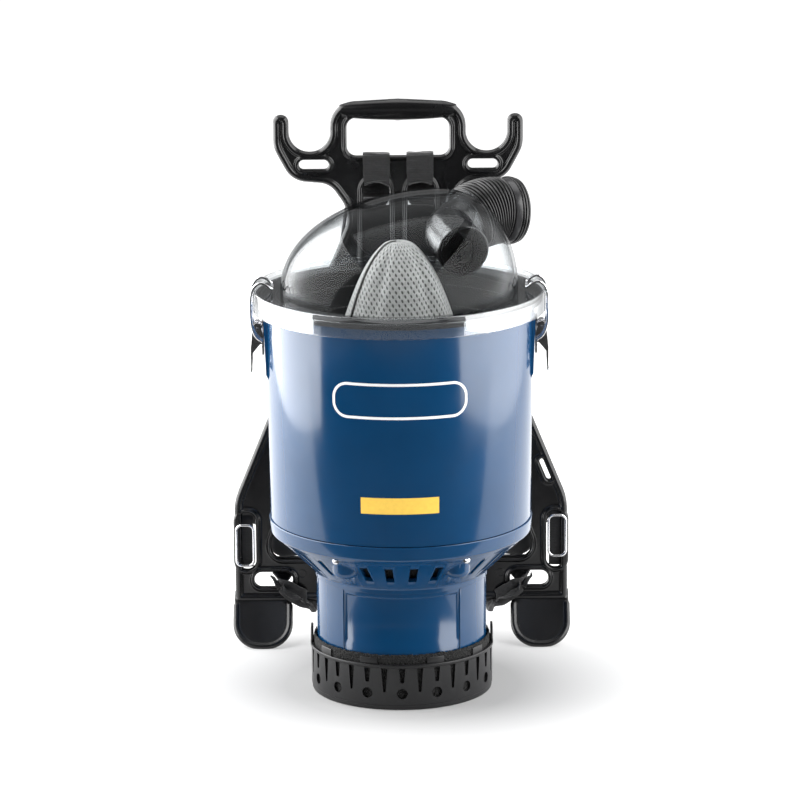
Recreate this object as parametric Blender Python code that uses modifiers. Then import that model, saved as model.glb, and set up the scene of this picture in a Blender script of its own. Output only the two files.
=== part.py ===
"""Backpack vacuum cleaner: a canister with a clear lid on a moulded harness frame.

Metres, +Z up. The origin is on the canister's axis, at the floor. The front faces -Y.
"""

import math

import bmesh
import bpy
from mathutils import Matrix, Vector

# ---------------------------------------------------------------- driving dimensions
GAP = 0.0003                    # clearance between neighbouring solids
ROUND = 48                      # steps round the large turned shells
SMALL_ROUND = 24                # steps round the inner and small turned pieces

CANISTER_FOOT_R = 0.1225        # canister's outer radius at its seam
CANISTER_TOP_R = 0.1245
CANISTER_WALL = 0.003
CANISTER_FOOT_Z = 0.168
CANISTER_TOP_Z = 0.3752

LID_R = 0.137                   # the clear lid's collar
LID_FOOT_Z = 0.367
LID_LIP_Z = 0.387
FLANGE_Z = 0.383                # top of the lid's flange, where the bails hook on
FLANGE_T = 0.002
DOME_R = 0.111                  # the dome's foot circle
DOME_H = 0.090                  # height of the dome above the flange
DOME_APEX = (0.045, 0.024)      # the dome leans to the right and back
DOME_WALL = 0.003
DOME_POWER = 2.15               # 2 is an ellipsoid, more is fuller at the shoulder

PORT_CENTRE = Vector((0.062, 0.059, 0.436))
PORT_AXIS = Vector((0.750, 0.605, 0.260)).normalized()
PORT_HOLE_R = 0.0243
ELBOW_JOINT = PORT_CENTRE - PORT_AXIS * 0.022
ELBOW_MOUTH = Vector((0.060, -0.006, 0.4215))

HOUSING_R = 0.080               # motor housing below the vents
HOUSING_FOOT_Z = 0.038
HOUSING_TOP_Z = 0.1107
SKIRT_TOP_R = 0.118
COVER_R = 0.0855                # exhaust cover on the floor
COVER_WALL = 0.002
COVER_TOP_Z = 0.044
COVER_BAYS = 16                 # holes, and as many slots of each kind, round the cover
COVER_HOLE_R = 0.0051
PANEL_HALF = math.radians(41.4)  # half the barrel's front panel, seen from the axis
PANEL_DEPTH = 0.0012
SLOT_WIDTH = 0.0076             # air slots of the vent housing
BOSS_ANGLES = (31.5, 148.5, 211.5, 328.5)

FRAME_FRONT_Y = 0.150
FRAME_BACK_Y = 0.160
FRAME_T = FRAME_BACK_Y - FRAME_FRONT_Y
FRAME_MID_Y = (FRAME_FRONT_Y + FRAME_BACK_Y) / 2
PAD_T = 0.014

LATCH_PIVOT = (0.1326, 0.350)   # x and z of the lever's pin, on the right
BAIL_PIVOT = (0.1283, 0.3376)   # x and z of the bail's foot in the lever
LATCH_BASE_X = 0.1275
LATCH_BASE_T = 0.0018
LEVER_WIDTH = 0.018
LEVER_SHEET = 0.0012
BAIL_HALF_WIDTH = 0.013
SWITCH_ANGLE = math.radians(50)
GLAND_ANGLE = math.radians(125)
SWITCH_Z = 0.1602
ROCKER_TILT = math.radians(8)
WIRE_R = 0.0012

# ---------------------------------------------------------------- finishes
BLUE = ("blue_plastic", (0.035, 0.145, 0.380), 0.22, 0.0)
BLACK_GLOSS = ("black_moulded", (0.012, 0.012, 0.013), 0.30, 0.0)
BLACK_SATIN = ("black_satin", (0.030, 0.030, 0.032), 0.45, 0.0)
CLEAR = ("clear_plastic", (0.900, 0.920, 0.930), 0.04, 0.0)
GREY_RUBBER = ("grey_rubber", (0.090, 0.090, 0.095), 0.60, 0.0)
BLACK_RUBBER = ("black_rubber", (0.020, 0.020, 0.021), 0.55, 0.0)
GREY_CLOTH = ("grey_cloth", (0.400, 0.400, 0.390), 0.90, 0.0)
BLACK_CLOTH = ("black_cloth", (0.015, 0.015, 0.016), 0.90, 0.0)
WEBBING = ("webbing", (0.022, 0.022, 0.024), 0.80, 0.0)
FOAM = ("foam", (0.050, 0.035, 0.025), 1.00, 0.0)
CHROME = ("chrome", (0.750, 0.750, 0.760), 0.15, 1.0)
STEEL = ("steel", (0.550, 0.550, 0.560), 0.35, 1.0)
GREY_PLASTIC = ("grey_plastic", (0.250, 0.250, 0.260), 0.50, 0.0)


# ---------------------------------------------------------------- helpers
def clear_scene():
    for obj in list(bpy.data.objects):
        bpy.data.objects.remove(obj, do_unlink=True)


def new_collection(name):
    collection = bpy.data.collections.new(name)
    bpy.context.scene.collection.children.link(collection)
    return collection


def finish(spec):
    """The Principled material of a finish, made once."""
    name, colour, roughness, metallic = spec
    found = bpy.data.materials.get(name)
    if found:
        return found
    made = bpy.data.materials.new(name)
    made.use_nodes = True
    shader = made.node_tree.nodes["Principled BSDF"]
    shader.inputs["Base Color"].default_value = (*colour, 1.0)
    shader.inputs["Roughness"].default_value = roughness
    shader.inputs["Metallic"].default_value = metallic
    if spec is CLEAR:
        shader.inputs["Alpha"].default_value = 0.25
    return made


def place(name, data, spec, collection=None):
    obj = bpy.data.objects.new(name, data)
    (collection or PARTS).objects.link(obj)
    if spec:
        data.materials.append(finish(spec))
    return obj


def as_cutter(obj):
    obj.hide_render = True
    obj.display_type = "WIRE"
    for collection in list(obj.users_collection):
        collection.objects.unlink(obj)
    CUTTERS.objects.link(obj)
    return obj


def combine(obj, other, operation="DIFFERENCE"):
    modifier = obj.modifiers.new(operation.title(), "BOOLEAN")
    modifier.operation = operation
    modifier.solver = "EXACT"
    modifier.object = other


def joined(name, objects):
    """One cutter made of several closed shapes that don't touch each other."""
    mesh = bmesh.new()
    for obj in objects:
        solid = baked(obj)
        data = solid.data
        data.transform(solid.matrix_world)
        mesh.from_mesh(data)
        bpy.data.objects.remove(solid, do_unlink=True)
    data = bpy.data.meshes.new(name)
    mesh.to_mesh(data)
    mesh.free()
    return as_cutter(place(name, data, None))


def baked(obj):
    """The object with its modifiers, or its curve, turned into a plain welded mesh."""
    depsgraph = bpy.context.evaluated_depsgraph_get()
    data = bpy.data.meshes.new_from_object(obj.evaluated_get(depsgraph))
    name, matrix, collection = obj.name, obj.matrix_world.copy(), obj.users_collection[0]
    bpy.data.objects.remove(obj, do_unlink=True)
    mesh = bmesh.new()
    mesh.from_mesh(data)
    bmesh.ops.remove_doubles(mesh, verts=mesh.verts, dist=0.000005)
    bmesh.ops.recalc_face_normals(mesh, faces=mesh.faces)
    mesh.to_mesh(data)
    mesh.free()
    made = bpy.data.objects.new(name, data)
    collection.objects.link(made)
    made.matrix_world = matrix
    return made


def turned(name, spec, profile, steps=ROUND, on_axis=False):
    """A body turned about Z. A closed profile of (radius, z) runs down its outer side.

    With on_axis the profile is open, and starts and ends on the axis.
    """
    data = bpy.data.meshes.new(name)
    edges = [(i, i + 1) for i in range(len(profile) - 1)]
    if not on_axis:
        edges.append((len(profile) - 1, 0))
    data.from_pydata([(r, 0.0, z) for r, z in profile], edges, [])
    obj = place(name, data, spec)
    screw = obj.modifiers.new("Turn", "SCREW")
    screw.steps = screw.render_steps = steps
    screw.use_merge_vertices = True
    screw.merge_threshold = 0.00001
    screw.use_smooth_shade = True
    return obj


def ring_profile(outer, inner, low, high):
    return [(outer, high), (outer, low), (inner, low), (inner, high)]


def aimed(direction, point):
    """A matrix that turns +Z to a direction and moves the origin to a point."""
    return Matrix.Translation(point) @ direction.to_track_quat("Z", "Y").to_matrix().to_4x4()


def cylinder(name, spec, radius, length, matrix, steps=SMALL_ROUND):
    """A plain cylinder centred on its matrix's origin, along its Z."""
    data = bpy.data.meshes.new(name)
    mesh = bmesh.new()
    bmesh.ops.create_cone(mesh, cap_ends=True, segments=steps, radius1=radius, radius2=radius,
                          depth=length, matrix=matrix)
    mesh.to_mesh(data)
    mesh.free()
    return place(name, data, spec)


def box(name, spec, low, high, bevel=0.0):
    data = bpy.data.meshes.new(name)
    size = [b - a for a, b in zip(low, high)]
    middle = [(a + b) / 2 for a, b in zip(low, high)]
    mesh = bmesh.new()
    bmesh.ops.create_cube(mesh, size=1.0, matrix=Matrix.Translation(middle) @ Matrix.Diagonal((*size, 1.0)))
    mesh.to_mesh(data)
    mesh.free()
    obj = place(name, data, spec)
    if bevel:
        rounded = obj.modifiers.new("Bevel", "BEVEL")
        rounded.width = bevel
        rounded.segments = 2
    return obj


def rounded_outline(corners, step=18):
    """A closed outline whose corners (x, y, radius) become arcs, a point each step degrees."""
    points = []
    count = len(corners)
    for i, (x, y, radius) in enumerate(corners):
        here = Vector((x, y))
        before = (Vector(corners[i - 1][:2]) - here).normalized()
        after = (Vector(corners[(i + 1) % count][:2]) - here).normalized()
        opening = before.angle(after)
        if radius == 0 or opening > math.radians(179):
            points.append((x, y))
            continue
        reach = radius / math.tan(opening / 2)
        centre = here + (before + after).normalized() * (radius / math.sin(opening / 2))
        start = here + before * reach - centre
        sweep = start.angle_signed(here + after * reach - centre)
        pieces = max(2, math.ceil(abs(math.degrees(sweep)) / step))
        for k in range(pieces + 1):
            turn = Matrix.Rotation(-sweep * k / pieces, 2)
            points.append(tuple(centre + turn @ start))
    return points


def mirrored(half):
    """A closed symmetric outline from its right half, listed from top to bottom."""
    return half + [(-x, y, r) for x, y, r in reversed(half) if x > 0]


def flat(name, spec, outlines, thickness, matrix, edge=0.0):
    """A flat body from outlines in its XY plane, the first one its edge and the others holes."""
    data = bpy.data.curves.new(name, "CURVE")
    data.dimensions = "2D"
    data.fill_mode = "BOTH"
    data.extrude = thickness / 2 - edge
    data.bevel_depth = edge
    data.bevel_resolution = 0
    data.offset = -edge
    for outline in outlines:
        spline = data.splines.new("POLY")
        spline.points.add(len(outline) - 1)
        for point, (x, y) in zip(spline.points, outline):
            point.co = (x, y, 0.0, 1.0)
        spline.use_cyclic_u = True
    obj = place(name, data, spec)
    obj.matrix_world = matrix
    bpy.context.view_layer.update()
    made = baked(obj)
    if spec:
        made.data.materials.clear()
        made.data.materials.append(finish(spec))
    return made


def upright(y):
    """Puts an outline of (x, z) in a plane across Y."""
    return Matrix.Translation((0.0, y, 0.0)) @ Matrix.Rotation(math.radians(90), 4, "X")


def sideways(x):
    """Puts an outline of (y, z) in a plane across X."""
    return Matrix.Translation((x, 0.0, 0.0)) @ Matrix(
        ((0, 0, 1, 0), (1, 0, 0, 0), (0, 1, 0, 0), (0, 0, 0, 1)))


def wire(name, spec, points, radius, cyclic=False):
    """A tube along points, with filled caps."""
    data = bpy.data.curves.new(name, "CURVE")
    data.dimensions = "3D"
    data.bevel_depth = radius
    data.bevel_resolution = 1
    data.use_fill_caps = True
    spline = data.splines.new("POLY")
    spline.points.add(len(points) - 1)
    for point, place_at in zip(spline.points, points):
        point.co = (*place_at, 1.0)
    spline.use_cyclic_u = cyclic
    return place(name, data, spec)


def smooth_path(points, pieces):
    """Points on a smooth curve through the given ones, pieces to each span."""
    knots = [Vector(p) for p in points]
    path = []
    for i in range(len(knots) - 1):
        a = knots[i - 1] if i else knots[0] * 2 - knots[1]
        b, c = knots[i], knots[i + 1]
        d = knots[i + 2] if i + 2 < len(knots) else c * 2 - b
        for k in range(pieces):
            t = k / pieces
            path.append(0.5 * (2 * b + (c - a) * t + (2 * a - 5 * b + 4 * c - d) * t * t
                               + (3 * b - a - 3 * c + d) * t ** 3))
    return path + [knots[-1]]


# ---------------------------------------------------------------- exhaust end
def exhaust_cover():
    """The black cup on the floor, with a ring of holes and tapered slots."""
    inner = COVER_R - COVER_WALL
    lip = COVER_R + 0.001
    profile = [(0.0, 0.0025), (inner - 0.001, 0.0025), (inner, 0.0035), (inner, COVER_TOP_Z),
               (lip, COVER_TOP_Z), (lip, COVER_TOP_Z - 0.0015), (COVER_R, COVER_TOP_Z - 0.0030),
               (COVER_R, 0.002), (COVER_R - 0.002, 0.0), (0.0, 0.0)]
    cover = turned("exhaust_cover", BLACK_SATIN, profile, ROUND, on_axis=True)
    cuts = []
    for i in range(COVER_BAYS):
        angle = math.tau * i / COVER_BAYS - math.pi / 2
        across = Vector((math.cos(angle), math.sin(angle), 0.0))
        middle = across * COVER_R + Vector((0, 0, 0.016))
        cuts.append(cylinder("cover_hole", None, COVER_HOLE_R, 0.012, aimed(across, middle), 8))
        cuts.append(slot_cutter(angle, 0.0265, 0.0020))
        cuts.append(slot_cutter(angle + math.pi / COVER_BAYS, 0.0175, 0.0015))
    combine(cover, joined("cover_cuts", cuts))
    for side in (1, -1):
        x = side * (COVER_R - 0.0006)
        tab = box("cover_tab", None, (x - 0.0011, -0.006, 0.040), (x + 0.0011, 0.006, 0.060))
        combine(cover, as_cutter(tab), "UNION")
    return cover


def slot_cutter(angle, foot_z, foot_half, top_z=0.0402, top_half=0.00275):
    """Cuts one slot, narrower at its foot, through the cover's wall."""
    outline = [(-foot_half, foot_z), (foot_half, foot_z), (top_half, top_z), (-top_half, top_z)]
    return flat("cover_slot", None, [outline], 0.012,
                Matrix.Rotation(angle + math.pi / 2, 4, "Z") @ upright(-COVER_R))


def exhaust_foam():
    """The foam wrap between the cover and the barrel."""
    profile = ring_profile(COVER_R - COVER_WALL - GAP, HOUSING_R + 2 * GAP, 0.0038, 0.0525)
    return turned("exhaust_foam", FOAM, profile)


def motor_housing():
    """The blue barrel, with a front panel let in between two vertical steps."""
    step_half = math.radians(0.8)
    steps = [side * PANEL_HALF + turn - math.pi / 2 for side in (1, -1) for turn in (-step_half, step_half)]
    angles = sorted([math.tau * k / 72 for k in range(72)] + [step % math.tau for step in steps])
    points = []
    for angle in angles:
        from_front = abs((angle + math.pi / 2 + math.pi) % math.tau - math.pi)
        radius = HOUSING_R - PANEL_DEPTH if from_front < PANEL_HALF - step_half * 0.8 else HOUSING_R
        points.append((radius * math.cos(angle), radius * math.sin(angle)))
    bore = [((HOUSING_R - 0.0035) * math.cos(a), (HOUSING_R - 0.0035) * math.sin(a))
            for a in (math.tau * k / ROUND for k in range(ROUND))]
    height = HOUSING_TOP_Z - HOUSING_FOOT_Z
    barrel = flat("motor_housing", BLUE, [points, bore], height,
                  Matrix.Translation((0, 0, HOUSING_FOOT_Z + height / 2)))
    floor = turned("housing_floor", None, ring_profile(HOUSING_R - 0.002, 0.024, 0.046, 0.049), ROUND)
    combine(barrel, as_cutter(floor), "UNION")
    return barrel


def vent_housing():
    """The blue skirt between barrel and canister, with slots and four screw bosses."""
    wall = 0.003
    foot = HOUSING_TOP_Z + GAP
    profile = [(CANISTER_FOOT_R + 0.0012, CANISTER_FOOT_Z - GAP), (SKIRT_TOP_R + 0.004, 0.1535),
               (SKIRT_TOP_R, 0.1515), (0.0812, 0.1160), (0.0812, foot), (0.0765, foot),
               (0.0765, 0.1175), (SKIRT_TOP_R - wall, 0.1560),
               (CANISTER_FOOT_R - 0.002, CANISTER_FOOT_Z - GAP)]
    skirt = turned("vent_housing", BLUE, profile, ROUND)
    slope = math.atan2(0.1515 - 0.119, SKIRT_TOP_R - 0.085)
    front = [-18.8, -6.3, 6.3, 18.8]
    flank = [44 + 11.5 * i for i in range(9)]
    places = front + [180 + a for a in front] + flank + [-a for a in flank]
    slots = []
    for degrees in places:
        turn = Matrix.Rotation(math.radians(degrees), 4, "Z")
        half = SLOT_WIDTH / 2 if degrees in places[:8] else SLOT_WIDTH / 3
        cutter = box("vent_slot", None, (-half, -0.012, -0.0090), (half, 0.012, 0.0090))
        on_slope = Matrix.Translation((0, -0.1015, 0.1355)) @ Matrix.Rotation(-slope, 4, "X")
        cutter.matrix_world = turn @ on_slope
        slots.append(cutter)
    combine(skirt, joined("vent_slots", slots))
    bosses, recesses = [], []
    for degrees in BOSS_ANGLES:
        turn = Matrix.Rotation(math.radians(degrees), 4, "Z")
        boss = turn @ Matrix.Translation((0, -0.0995, 0.1390))
        recess = turn @ Matrix.Translation((0, -0.1005, 0.1330))
        bosses.append(cylinder("screw_boss", None, 0.0115, 0.020, boss, 12))
        recesses.append(cylinder("screw_recess", None, 0.0085, 0.020, recess, 12))
    combine(skirt, joined("screw_bosses", bosses), "UNION")
    combine(skirt, joined("screw_recesses", recesses))
    return skirt


# ---------------------------------------------------------------- motor and fan
def motor_pieces():
    """The suction motor, its fan and its seals, inside the blue housings."""
    casing = [(0.062, 0.1605), (0.062, 0.1285), (0.048, 0.1285), (0.048, 0.1305),
              (0.060, 0.1305), (0.060, 0.1585), (0.020, 0.1585), (0.020, 0.1605)]
    turned("fan_housing", STEEL, casing, SMALL_ROUND)
    can = [(0.046, 0.1282), (0.046, 0.0600), (0.012, 0.0600), (0.012, 0.0630), (0.042, 0.0630), (0.042, 0.1282)]
    turned("motor_can", GREY_PLASTIC, can, SMALL_ROUND)
    rotor = [(0.0, 0.1550), (0.016, 0.1550), (0.055, 0.1480), (0.055, 0.1345), (0.005, 0.1345), (0.005, 0.1150),
             (0.030, 0.1150), (0.030, 0.0760), (0.005, 0.0760), (0.005, 0.0540), (0.0, 0.0540)]
    turned("fan_rotor", STEEL, rotor, SMALL_ROUND, on_axis=True)
    turned("motor_mount", BLACK_RUBBER, ring_profile(0.044, 0.024, 0.0493, 0.0597), SMALL_ROUND)
    turned("motor_seal", BLACK_RUBBER, ring_profile(0.056, 0.030, 0.1608, 0.1705), SMALL_ROUND)


# ---------------------------------------------------------------- canister and filter
def canister():
    top, foot = CANISTER_TOP_R, CANISTER_FOOT_R
    profile = [(top, CANISTER_TOP_Z), (foot, CANISTER_FOOT_Z), (0.105, CANISTER_FOOT_Z), (0.105, 0.1708),
               (foot - CANISTER_WALL, 0.1708), (top - CANISTER_WALL, CANISTER_TOP_Z)]
    shell = turned("canister", BLUE, profile)
    for side in (1, -1):
        outline = [(side * x, z) for x, z in ((0.1190, 0.364), (0.1263, 0.3655), (0.1263, 0.350),
                                              (0.1250, 0.306), (0.1190, 0.300))]
        wedge = flat("latch_pad", None, [outline], 0.036, upright(0.0))
        combine(shell, as_cutter(wedge), "UNION")
    inside = [(top - CANISTER_WALL, 0.380), (foot - CANISTER_WALL, 0.1708), (0.100, 0.1708), (0.100, 0.380)]
    combine(shell, as_cutter(turned("canister_bore", None, inside)))
    return shell


def chamber_floor():
    turned("chamber_floor", GREY_PLASTIC, ring_profile(0.1190, 0.034, 0.1711, 0.1745), 36)


def filter_pieces():
    """The cloth cone that stands on the chamber floor, its wire cage and its foot ring."""
    turned("filter_ring", BLACK_RUBBER, ring_profile(0.113, 0.101, 0.1748, 0.1845), 32)
    apex, foot = 0.434, 0.1848
    cloth = [(0.0, apex), (0.0095, apex - 0.0025), (0.0180, apex - 0.0095), (0.0270, apex - 0.0230),
             (0.0480, 0.364), (0.1120, foot), (0.1090, foot), (0.0455, 0.3615), (0.0245, apex - 0.0250),
             (0.0150, apex - 0.0125), (0.0, apex - 0.0060)]
    turned("filter_cone", GREY_CLOTH, cloth, 32, on_axis=True)
    cage = [(0.0240, 0.4030), (0.1050, 0.1875), (0.1020, 0.1875), (0.0200, 0.4030)]
    body = turned("filter_cage", GREY_PLASTIC, cage, 16)
    for k in range(4):
        turn = Matrix.Rotation(math.radians(45 + 90 * k), 4, "Z")
        window = box("cage_window", None, (-0.026, -0.140, 0.205), (0.026, -0.030, 0.330))
        window.matrix_world = turn
        combine(body, as_cutter(window))


# ---------------------------------------------------------------- lid
def dome_solid(name, shrink, foot_z):
    """The dome's solid form: rings about a leaning apex, on a circular foot."""
    radius = DOME_R - shrink
    height = DOME_H - shrink
    apex = Vector(DOME_APEX)
    rings, around = 7, 36
    mesh = bmesh.new()
    loops = []
    for i in range(rings):
        share = math.cos(math.pi / 2 * i / rings)
        rise = (1 - share ** DOME_POWER) ** (1 / DOME_POWER)
        loop = []
        for k in range(around):
            angle = math.tau * k / around
            rim = Vector((radius * math.cos(angle), radius * math.sin(angle)))
            point = apex + (rim - apex) * share
            loop.append(mesh.verts.new((point.x, point.y, FLANGE_Z + height * rise)))
        loops.append(loop)
    foot = [mesh.verts.new((v.co.x, v.co.y, foot_z)) for v in loops[0]]
    loops.insert(0, foot)
    for low, high in zip(loops, loops[1:]):
        for k in range(around):
            n = (k + 1) % around
            mesh.faces.new((low[k], low[n], high[n], high[k]))
    tip = mesh.verts.new((apex.x, apex.y, FLANGE_Z + height))
    for k in range(around):
        mesh.faces.new((loops[-1][k], loops[-1][(k + 1) % around], tip))
    mesh.faces.new(list(reversed(foot)))
    data = bpy.data.meshes.new(name)
    mesh.to_mesh(data)
    mesh.free()
    obj = place(name, data, None)
    beyond = box(name + "_port_side", None, (-0.3, -0.3, -shrink), (0.3, 0.3, 0.3))
    beyond.matrix_world = aimed(PORT_AXIS, PORT_CENTRE)
    combine(obj, as_cutter(beyond))
    return as_cutter(obj)


def lid():
    """The clear lid: collar, flange and leaning dome, in one moulding."""
    skirt_in = LID_R - 0.0025
    profile = [(skirt_in + 0.0008, LID_LIP_Z), (LID_R - 0.0008, LID_LIP_Z), (LID_R, LID_LIP_Z - 0.0015),
               (LID_R, LID_FOOT_Z), (skirt_in, LID_FOOT_Z), (skirt_in, FLANGE_Z - FLANGE_T),
               (DOME_R - 0.0025, FLANGE_Z - FLANGE_T), (DOME_R - 0.0025, FLANGE_Z), (skirt_in, FLANGE_Z)]
    collar = turned("lid_dome", CLEAR, profile, ROUND)
    for side in (1, -1):
        x = side * 0.144
        notch = box("bail_notch", None, (x - 0.012, -0.0165, FLANGE_Z), (x + 0.012, 0.0165, 0.395))
        combine(collar, as_cutter(notch))
        edge = box("bail_edge", None, (-0.006, -0.0165, -0.004), (0.006, 0.0165, 0.004))
        lean = Matrix.Rotation(side * math.radians(45), 4, "Y")
        edge.matrix_world = Matrix.Translation((side * 0.1382, 0, 0.3844)) @ lean
        combine(collar, as_cutter(edge))
    combine(collar, dome_solid("dome_outside", 0.0, FLANGE_Z - FLANGE_T), "UNION")
    combine(collar, dome_solid("dome_inside", DOME_WALL, FLANGE_Z - 0.010))
    hole = cylinder("port_hole", None, PORT_HOLE_R + GAP, 0.030, aimed(PORT_AXIS, PORT_CENTRE), 32)
    combine(collar, as_cutter(hole))
    return collar


def lid_seal():
    """The rubber ring between the canister's rim and the lid's flange."""
    profile = ring_profile(0.1340, 0.1135, CANISTER_TOP_Z + GAP, FLANGE_Z - FLANGE_T - GAP)
    turned("lid_seal", GREY_RUBBER, profile)


def elbow_solid(name, spec, radius, extra):
    """A mitred pipe from the port to the mouth, extra longer at both ends."""
    start = PORT_CENTRE + PORT_AXIS * (0.002 + extra)
    mouth = ELBOW_MOUTH + (ELBOW_MOUTH - ELBOW_JOINT).normalized() * extra
    pipe = pipe_between(name, spec, start, ELBOW_JOINT, radius)
    data = bpy.data.meshes.new(name + "_knee")
    mesh = bmesh.new()
    bmesh.ops.create_uvsphere(mesh, u_segments=SMALL_ROUND, v_segments=12, radius=radius * 0.9995,
                              matrix=aimed(PORT_AXIS, ELBOW_JOINT))
    mesh.to_mesh(data)
    mesh.free()
    combine(pipe, as_cutter(place(name + "_knee", data, None)), "UNION")
    combine(pipe, as_cutter(pipe_between(name + "_leg", None, ELBOW_JOINT, mouth, radius * 0.999)), "UNION")
    return pipe


def pipe_between(name, spec, start, end, radius):
    along = end - start
    return cylinder(name, spec, radius, along.length, aimed(along.normalized(), (start + end) / 2))


def inlet_elbow():
    """The black elbow inside the dome: from the port it turns towards the front."""
    elbow = elbow_solid("inlet_elbow", BLACK_GLOSS, PORT_HOLE_R - 0.0004, 0.0)
    combine(elbow, as_cutter(elbow_solid("elbow_bore", None, PORT_HOLE_R - 0.0030, 0.002)))
    return elbow


# ---------------------------------------------------------------- hose cuff
CUFF_START = PORT_CENTRE + PORT_AXIS * 0.0045
CUFF_PATH = [CUFF_START, CUFF_START + PORT_AXIS * 0.012,
             CUFF_START + PORT_AXIS * 0.026 + Vector((0.002, 0.0, -0.002)),
             CUFF_START + PORT_AXIS * 0.040 + Vector((0.006, 0.0, -0.007))]


def hose_cuff():
    """The ribbed swivel cuff outside the lid, bending to the right."""
    path = smooth_path(CUFF_PATH, 2)
    outer = baked(wire("hose_cuff", BLACK_RUBBER, path, 0.0320))
    outer.data.materials.append(finish(BLACK_RUBBER))
    longer = [path[0] * 2 - path[1]] + path[1:-1] + [path[-1] * 2 - path[-2]]
    combine(outer, as_cutter(baked(wire("cuff_bore", None, longer, 0.0215))))
    return outer


def cuff_end_ring():
    """The hard ring in the cuff's mouth, which a hose end pushes into."""
    path = smooth_path(CUFF_PATH, 2)
    along = (path[-1] - path[-2]).normalized()
    profile = [(0.0275, 0.0060), (0.0275, 0.0), (0.0190, 0.0), (0.0215, 0.0060)]
    ring = turned("cuff_end_ring", BLACK_GLOSS, profile, SMALL_ROUND)
    ring.matrix_world = aimed(along, path[-1] + along * GAP)
    return ring


# ---------------------------------------------------------------- latches
def latch(side, word):
    """One draw latch: base plate, pin, lever and wire bail."""
    pivot_x, pivot_z = LATCH_PIVOT[0] * side, LATCH_PIVOT[1]
    middle, half = side * LATCH_BASE_X, LATCH_BASE_T / 2
    plate = box("latch_base_" + word, CHROME, (middle - half, -0.0072, 0.3240), (middle + half, 0.0072, 0.3585))
    near, far = sorted((side * 0.1268, side * 0.1353))
    for y in (-0.0060, 0.0060):
        ear = box("latch_ear", None, (near, y - 0.0007, 0.3462), (far, y + 0.0007, 0.3538))
        combine(plate, as_cutter(ear), "UNION")
    pin_hole = cylinder("pin_hole", None, 0.0017, 0.030, across_y(pivot_x, pivot_z), 12)
    combine(plate, as_cutter(pin_hole))
    cylinder("latch_pin_" + word, CHROME, 0.0014, 0.0186, across_y(pivot_x, pivot_z), 12)
    latch_lever(side, word)
    latch_bail(side, word)


def across_y(x, z, y=0.0):
    return Matrix.Translation((x, y, z)) @ Matrix.Rotation(math.radians(90), 4, "X")


def latch_lever(side, word):
    """Two cheeks on the pin and a tail plate that the fingers pull."""
    outside = [(0.1288, 0.3520), (0.1308, 0.3545), (0.1348, 0.3545), (0.1368, 0.3520), (0.1390, 0.3300),
               (0.1387, 0.3085), (0.1377, 0.3085), (0.1370, 0.3260), (0.1303, 0.3345), (0.1268, 0.3350),
               (0.1268, 0.3400)]
    between = [(0.1160, 0.3600), (0.1378, 0.3600), (0.1377, 0.3300), (0.1370, 0.3262), (0.1160, 0.3262)]
    outside, between = ([(side * x, z) for x, z in points] for points in (outside, between))
    lever = flat("latch_lever_" + word, CHROME, [outside], LEVER_WIDTH, upright(0.0))
    inside = flat("lever_inside", None, [between], LEVER_WIDTH - 2 * LEVER_SHEET, upright(0.0))
    combine(lever, as_cutter(inside))
    for x, z, radius in ((*LATCH_PIVOT, 0.0017), (*BAIL_PIVOT, WIRE_R + GAP)):
        hole = cylinder("lever_hole", None, radius, 0.030, across_y(side * x, z), 12)
        combine(lever, as_cutter(hole))
    return lever


def latch_bail(side, word):
    """A wire loop, from one cheek of the lever over the lid's flange and back."""
    shape = [BAIL_PIVOT, (0.1345, 0.3440), (0.1380, 0.3560), (0.1386, 0.3680), (0.1385, 0.3790),
             (0.1369, 0.3870), (0.1330, 0.3920), (0.1280, 0.3937), (0.1226, 0.3912), (0.1186, 0.3874)]
    near = [(side * x, -BAIL_HALF_WIDTH, z) for x, z in shape]
    far = [(x, -y, z) for x, y, z in near]
    foot = (side * BAIL_PIVOT[0], BAIL_PIVOT[1])
    ends = [(foot[0], -0.0080, foot[1]), (foot[0], -0.0100, foot[1]), (foot[0], -0.0120, foot[1] + 0.0002)]
    path = ends + near[1:] + far[:0:-1] + [(x, -y, z) for x, y, z in reversed(ends)]
    return wire("latch_bail_" + word, CHROME, path, WIRE_R)


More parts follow.
